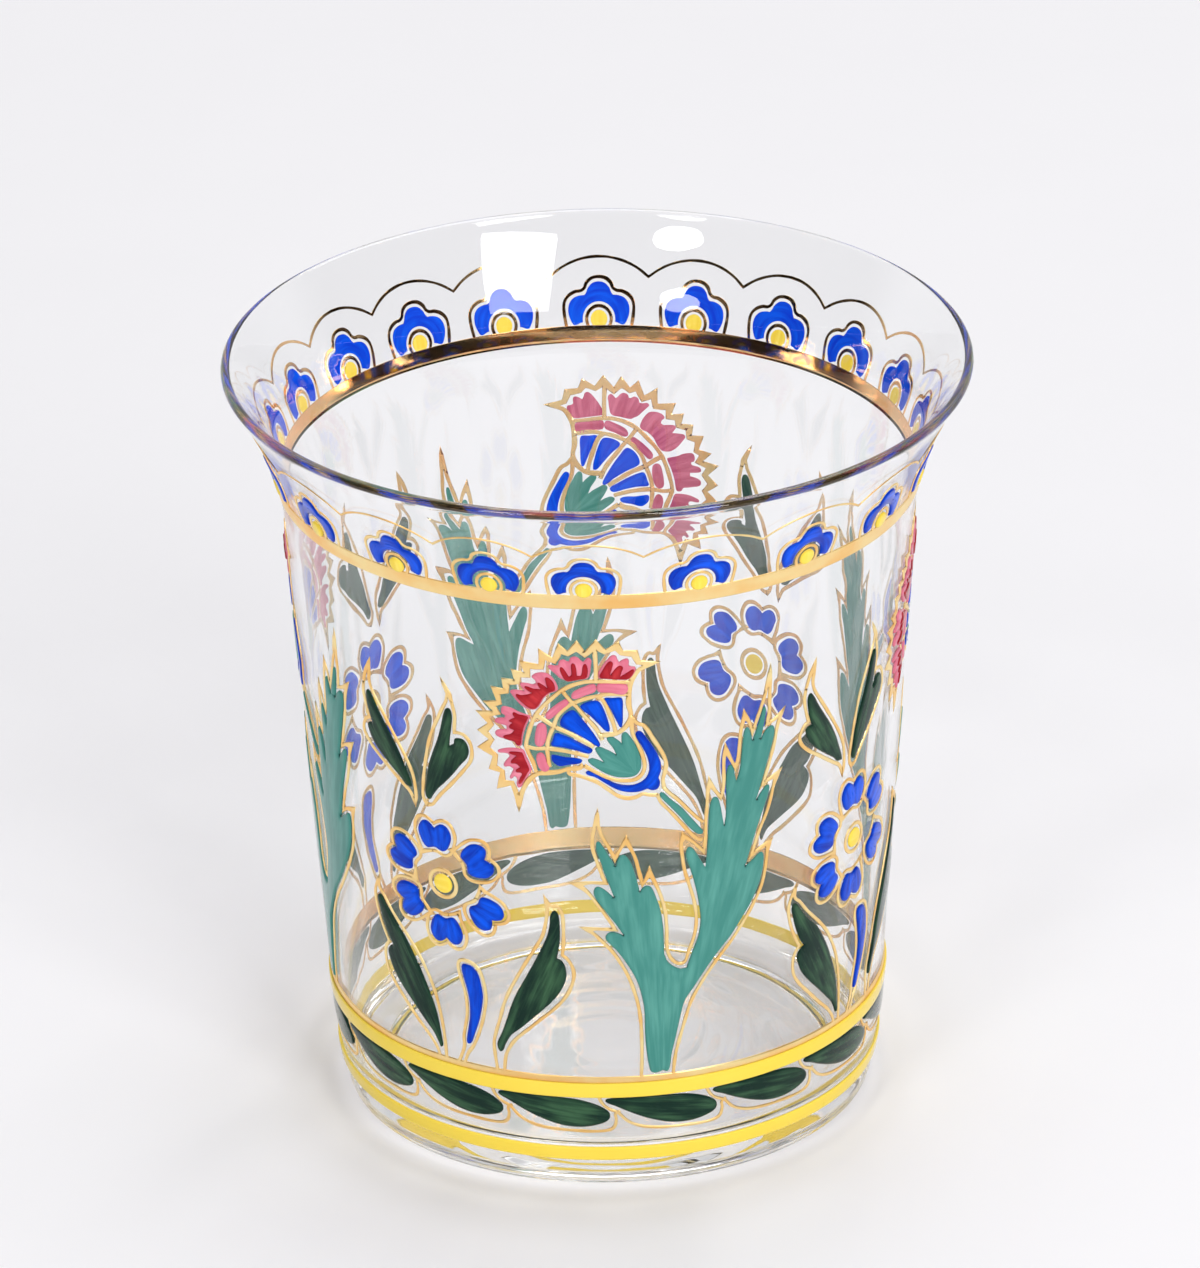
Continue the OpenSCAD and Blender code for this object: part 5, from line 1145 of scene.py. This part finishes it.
calyx = smooth(in_field(CALYX))
calyx_mid = calyx.mean(0)
calyx_foot = calyx[np.argmax(calyx @ [1, -1])]
pink_petals = field(PINK_PETAL)
carnation_lines = field_lines([INNER_ARC, OUTER_ARC, CALYX_LINE] + SPOKE + SEPAL_LINE, CARNATION_LINE_W)
zigzag = ribbon(in_field(ZIGZAG[::-1]), GILT_LINE_W, within=ZIGZAG_FILL)
enamelled("carnation_stems", fuller([CARNATION_STEM], CALYX_SPREAD), "teal")
enamelled("carnation_calyxes", fuller([CALYX], CALYX_SPREAD), "teal", fan=calyx_foot)
enamelled("carnation_sepals", field([SEPAL]), "blue", about=calyx_mid)
enamelled("carnation_wedges", field(WEDGE), "blue", fan=calyx_foot)
enamelled("carnation_dashes", fuller(DASH, DASH_SPREAD), "pink")
enamelled("carnation_petals", pink_petals, "pink", fan=calyx_mid)
enamelled("carnation_petal_tips", field(RED_TIP), "red", SECOND_COAT_T, fan=calyx_mid,
    beneath=[[clockwise(loop) for loop in loops] for loops in pink_petals[0][0]])
gilded("carnation_gilt_lines", spray(carnation_lines + field_lines(STEM_LINE) + [zigzag]))

rosette_x = (ROSETTE_MID / 100 - 1 / 2) * FIELD_W
rosette_z = BASE_BAND_TOP + ROSETTE_RISE / 100 * FIELD_H
petals = [[smooth(petal_at(*turn, PETAL))] for turn in PETAL_TURNS]
petal_lines = [ribbon(petal_at(*turn, PETAL_GILT, PETAL_GAP + GILT_LINE_W / 2), GILT_LINE_W, True)
    for turn in PETAL_TURNS]
rosette_ring = ring(ROSETTE_RING_R, rosette_x, rosette_z, ROSETTE_RING_W)
enamelled("rosette_petals", spray(petals), "blue", fan=np.array([rosette_x, rosette_z]))
enamelled("rosette_dots", spray([[circle(ROSETTE_DOT_R, rosette_x, rosette_z)]]), "yellow")
gilded("rosette_gilt_lines", spray(petal_lines + [rosette_ring]))
enamelled("upper_leaves", field(UPPER_LEAF), "green")
gilded("upper_leaf_gilt_lines", spray(field_lines(UPPER_GILT, closed=True)))
enamelled("lower_leaves", field(LOWER_LEAF), "green")
gilded("lower_leaf_gilt_lines", spray(field_lines(LOWER_GILT)))
enamelled("buds", field([BUD]), "blue")
gilded("bud_gilt_lines", spray(field_lines([BUD_GILT])))

# Table and studio
TABLE_R_M = 0.9
TABLE_DROP_M = 0.00002
LAMP_TARGET_M = (0, 0, 0.045)
# Name, azimuth, elevation, distance in metres, shape, width and height in metres, and watts
LAMPS = [
    ["window_lamp", 27.5, 28.6, 1.4, "RECTANGLE", 0.52, 0.68, 10],
    ["upper_lamp", -30, 39.4, 1.5, "ELLIPSE", 0.37, 0.19, 2],
    ["lower_lamp", -30, 17.6, 1.5, "ELLIPSE", 0.37, 0.19, 2],
    ["top_lamp", 158, 68, 1.6, "RECTANGLE", 1.2, 1.2, 13.6]]
# The camera's place and turn, solved from the circles of the glass in the photograph
CAMERA_AT_M = (0, -0.950, 0.5027)
PITCH, YAW, ROLL = 0.446, -0.0002, -0.018
FOCAL_PX = 10446
PHOTO_H_PX = 1268
SENSOR_W = 36


def pale_ground():
    """A plain pale table that keeps the shadow of the glass."""
    f = Finish(bpy.data.materials.new("pale_table"))
    grain = f.noise(f.place(), TABLE_GRAIN, 3.0)
    return f.done(f.principled(Base_Color=f.mix(grain, rgb(240, 239, 241), rgb(242, 241, 243)),
        Roughness=0.7, Specular_IOR_Level=0.1))


def table():
    bm = bmesh.new()
    bmesh.ops.create_circle(bm, cap_ends=True, segments=96, radius=TABLE_R_M)
    mesh = bpy.data.meshes.new("table")
    bm.to_mesh(mesh)
    bm.free()
    mesh.materials.append(pale_ground())
    made = bpy.data.objects.new("table", mesh)
    bpy.context.scene.collection.objects.link(made)
    made.location.z = -TABLE_DROP_M


def softbox(name, azimuth, elevation, distance_m, shape, width, height, watts):
    """A soft lamp that faces the glass from a direction; azimuth 0 is the front and 90 the right."""
    a, e = math.radians(azimuth), math.radians(elevation)
    lamp = bpy.data.lights.new(name, "AREA")
    lamp.shape = shape
    lamp.size, lamp.size_y = width, height
    lamp.energy = watts
    made = bpy.data.objects.new(name, lamp)
    off = Vector((math.sin(a) * math.cos(e), -math.cos(a) * math.cos(e), math.sin(e)))
    made.location = Vector(LAMP_TARGET_M) + off * distance_m
    made.rotation_euler = off.to_track_quat("Z", "Y").to_euler()
    bpy.context.scene.collection.objects.link(made)


def studio():
    """A pale room, darker overhead; the gilding mirrors its dim side behind the camera."""
    world = bpy.data.worlds.new("studio")
    bpy.context.scene.world = world
    f = Finish(world)
    parts = f.node("ShaderNodeSeparateXYZ", {}, {0: f.node("ShaderNodeTexCoord")["Generated"]})
    rays = f.node("ShaderNodeLightPath")
    overhead = f.mix(rays["Is Transmission Ray"], rgb(150, 150, 152), rgb(214, 214, 216))
    room = f.mix(parts["Z"].between(0.12, 0.45), rgb(236, 235, 237), overhead)
    seen = f.mix(rays["Is Camera Ray"], room, rgb(243, 242, 244))
    mirror = f.mix(parts["Y"].between(0.1, 0.45), rgb(25, 23, 23), rgb(214, 214, 216))
    in_gloss = rays["Glossy Depth"].math("GREATER_THAN", 0.5) * (1 - rays["Is Diffuse Ray"])
    back = f.node("ShaderNodeBackground", {}, {"Color": f.mix(in_gloss, seen, mirror), "Strength": 1.0})
    f.done(back["Background"], "ShaderNodeOutputWorld")


def camera():
    """The photograph's camera."""
    ahead = Vector((math.sin(YAW) * math.cos(PITCH), math.cos(YAW) * math.cos(PITCH), -math.sin(PITCH)))
    side = Vector((math.cos(YAW), -math.sin(YAW), 0))
    above = side.cross(ahead)
    x = side * math.cos(ROLL) + above * math.sin(ROLL)
    y = above * math.cos(ROLL) - side * math.sin(ROLL)
    lens = bpy.data.cameras.new("camera")
    lens.sensor_width = SENSOR_W
    lens.sensor_fit = "AUTO"
    lens.lens = FOCAL_PX * SENSOR_W / PHOTO_H_PX
    lens.clip_start, lens.clip_end = 0.05, 50
    made = bpy.data.objects.new("camera", lens)
    made.matrix_world = Matrix.Translation(CAMERA_AT_M) @ Matrix((x, y, -ahead)).transposed().to_4x4()
    bpy.context.scene.collection.objects.link(made)
    bpy.context.scene.camera = made


table()
studio()
for lamp in LAMPS:
    softbox(*lamp)
camera()
bpy.context.scene.view_settings.view_transform = "Standard"
cycles = bpy.context.scene.cycles
cycles.max_bounces = 40
cycles.transmission_bounces = 32
cycles.transparent_max_bounces = 24
cycles.glossy_bounces = 12
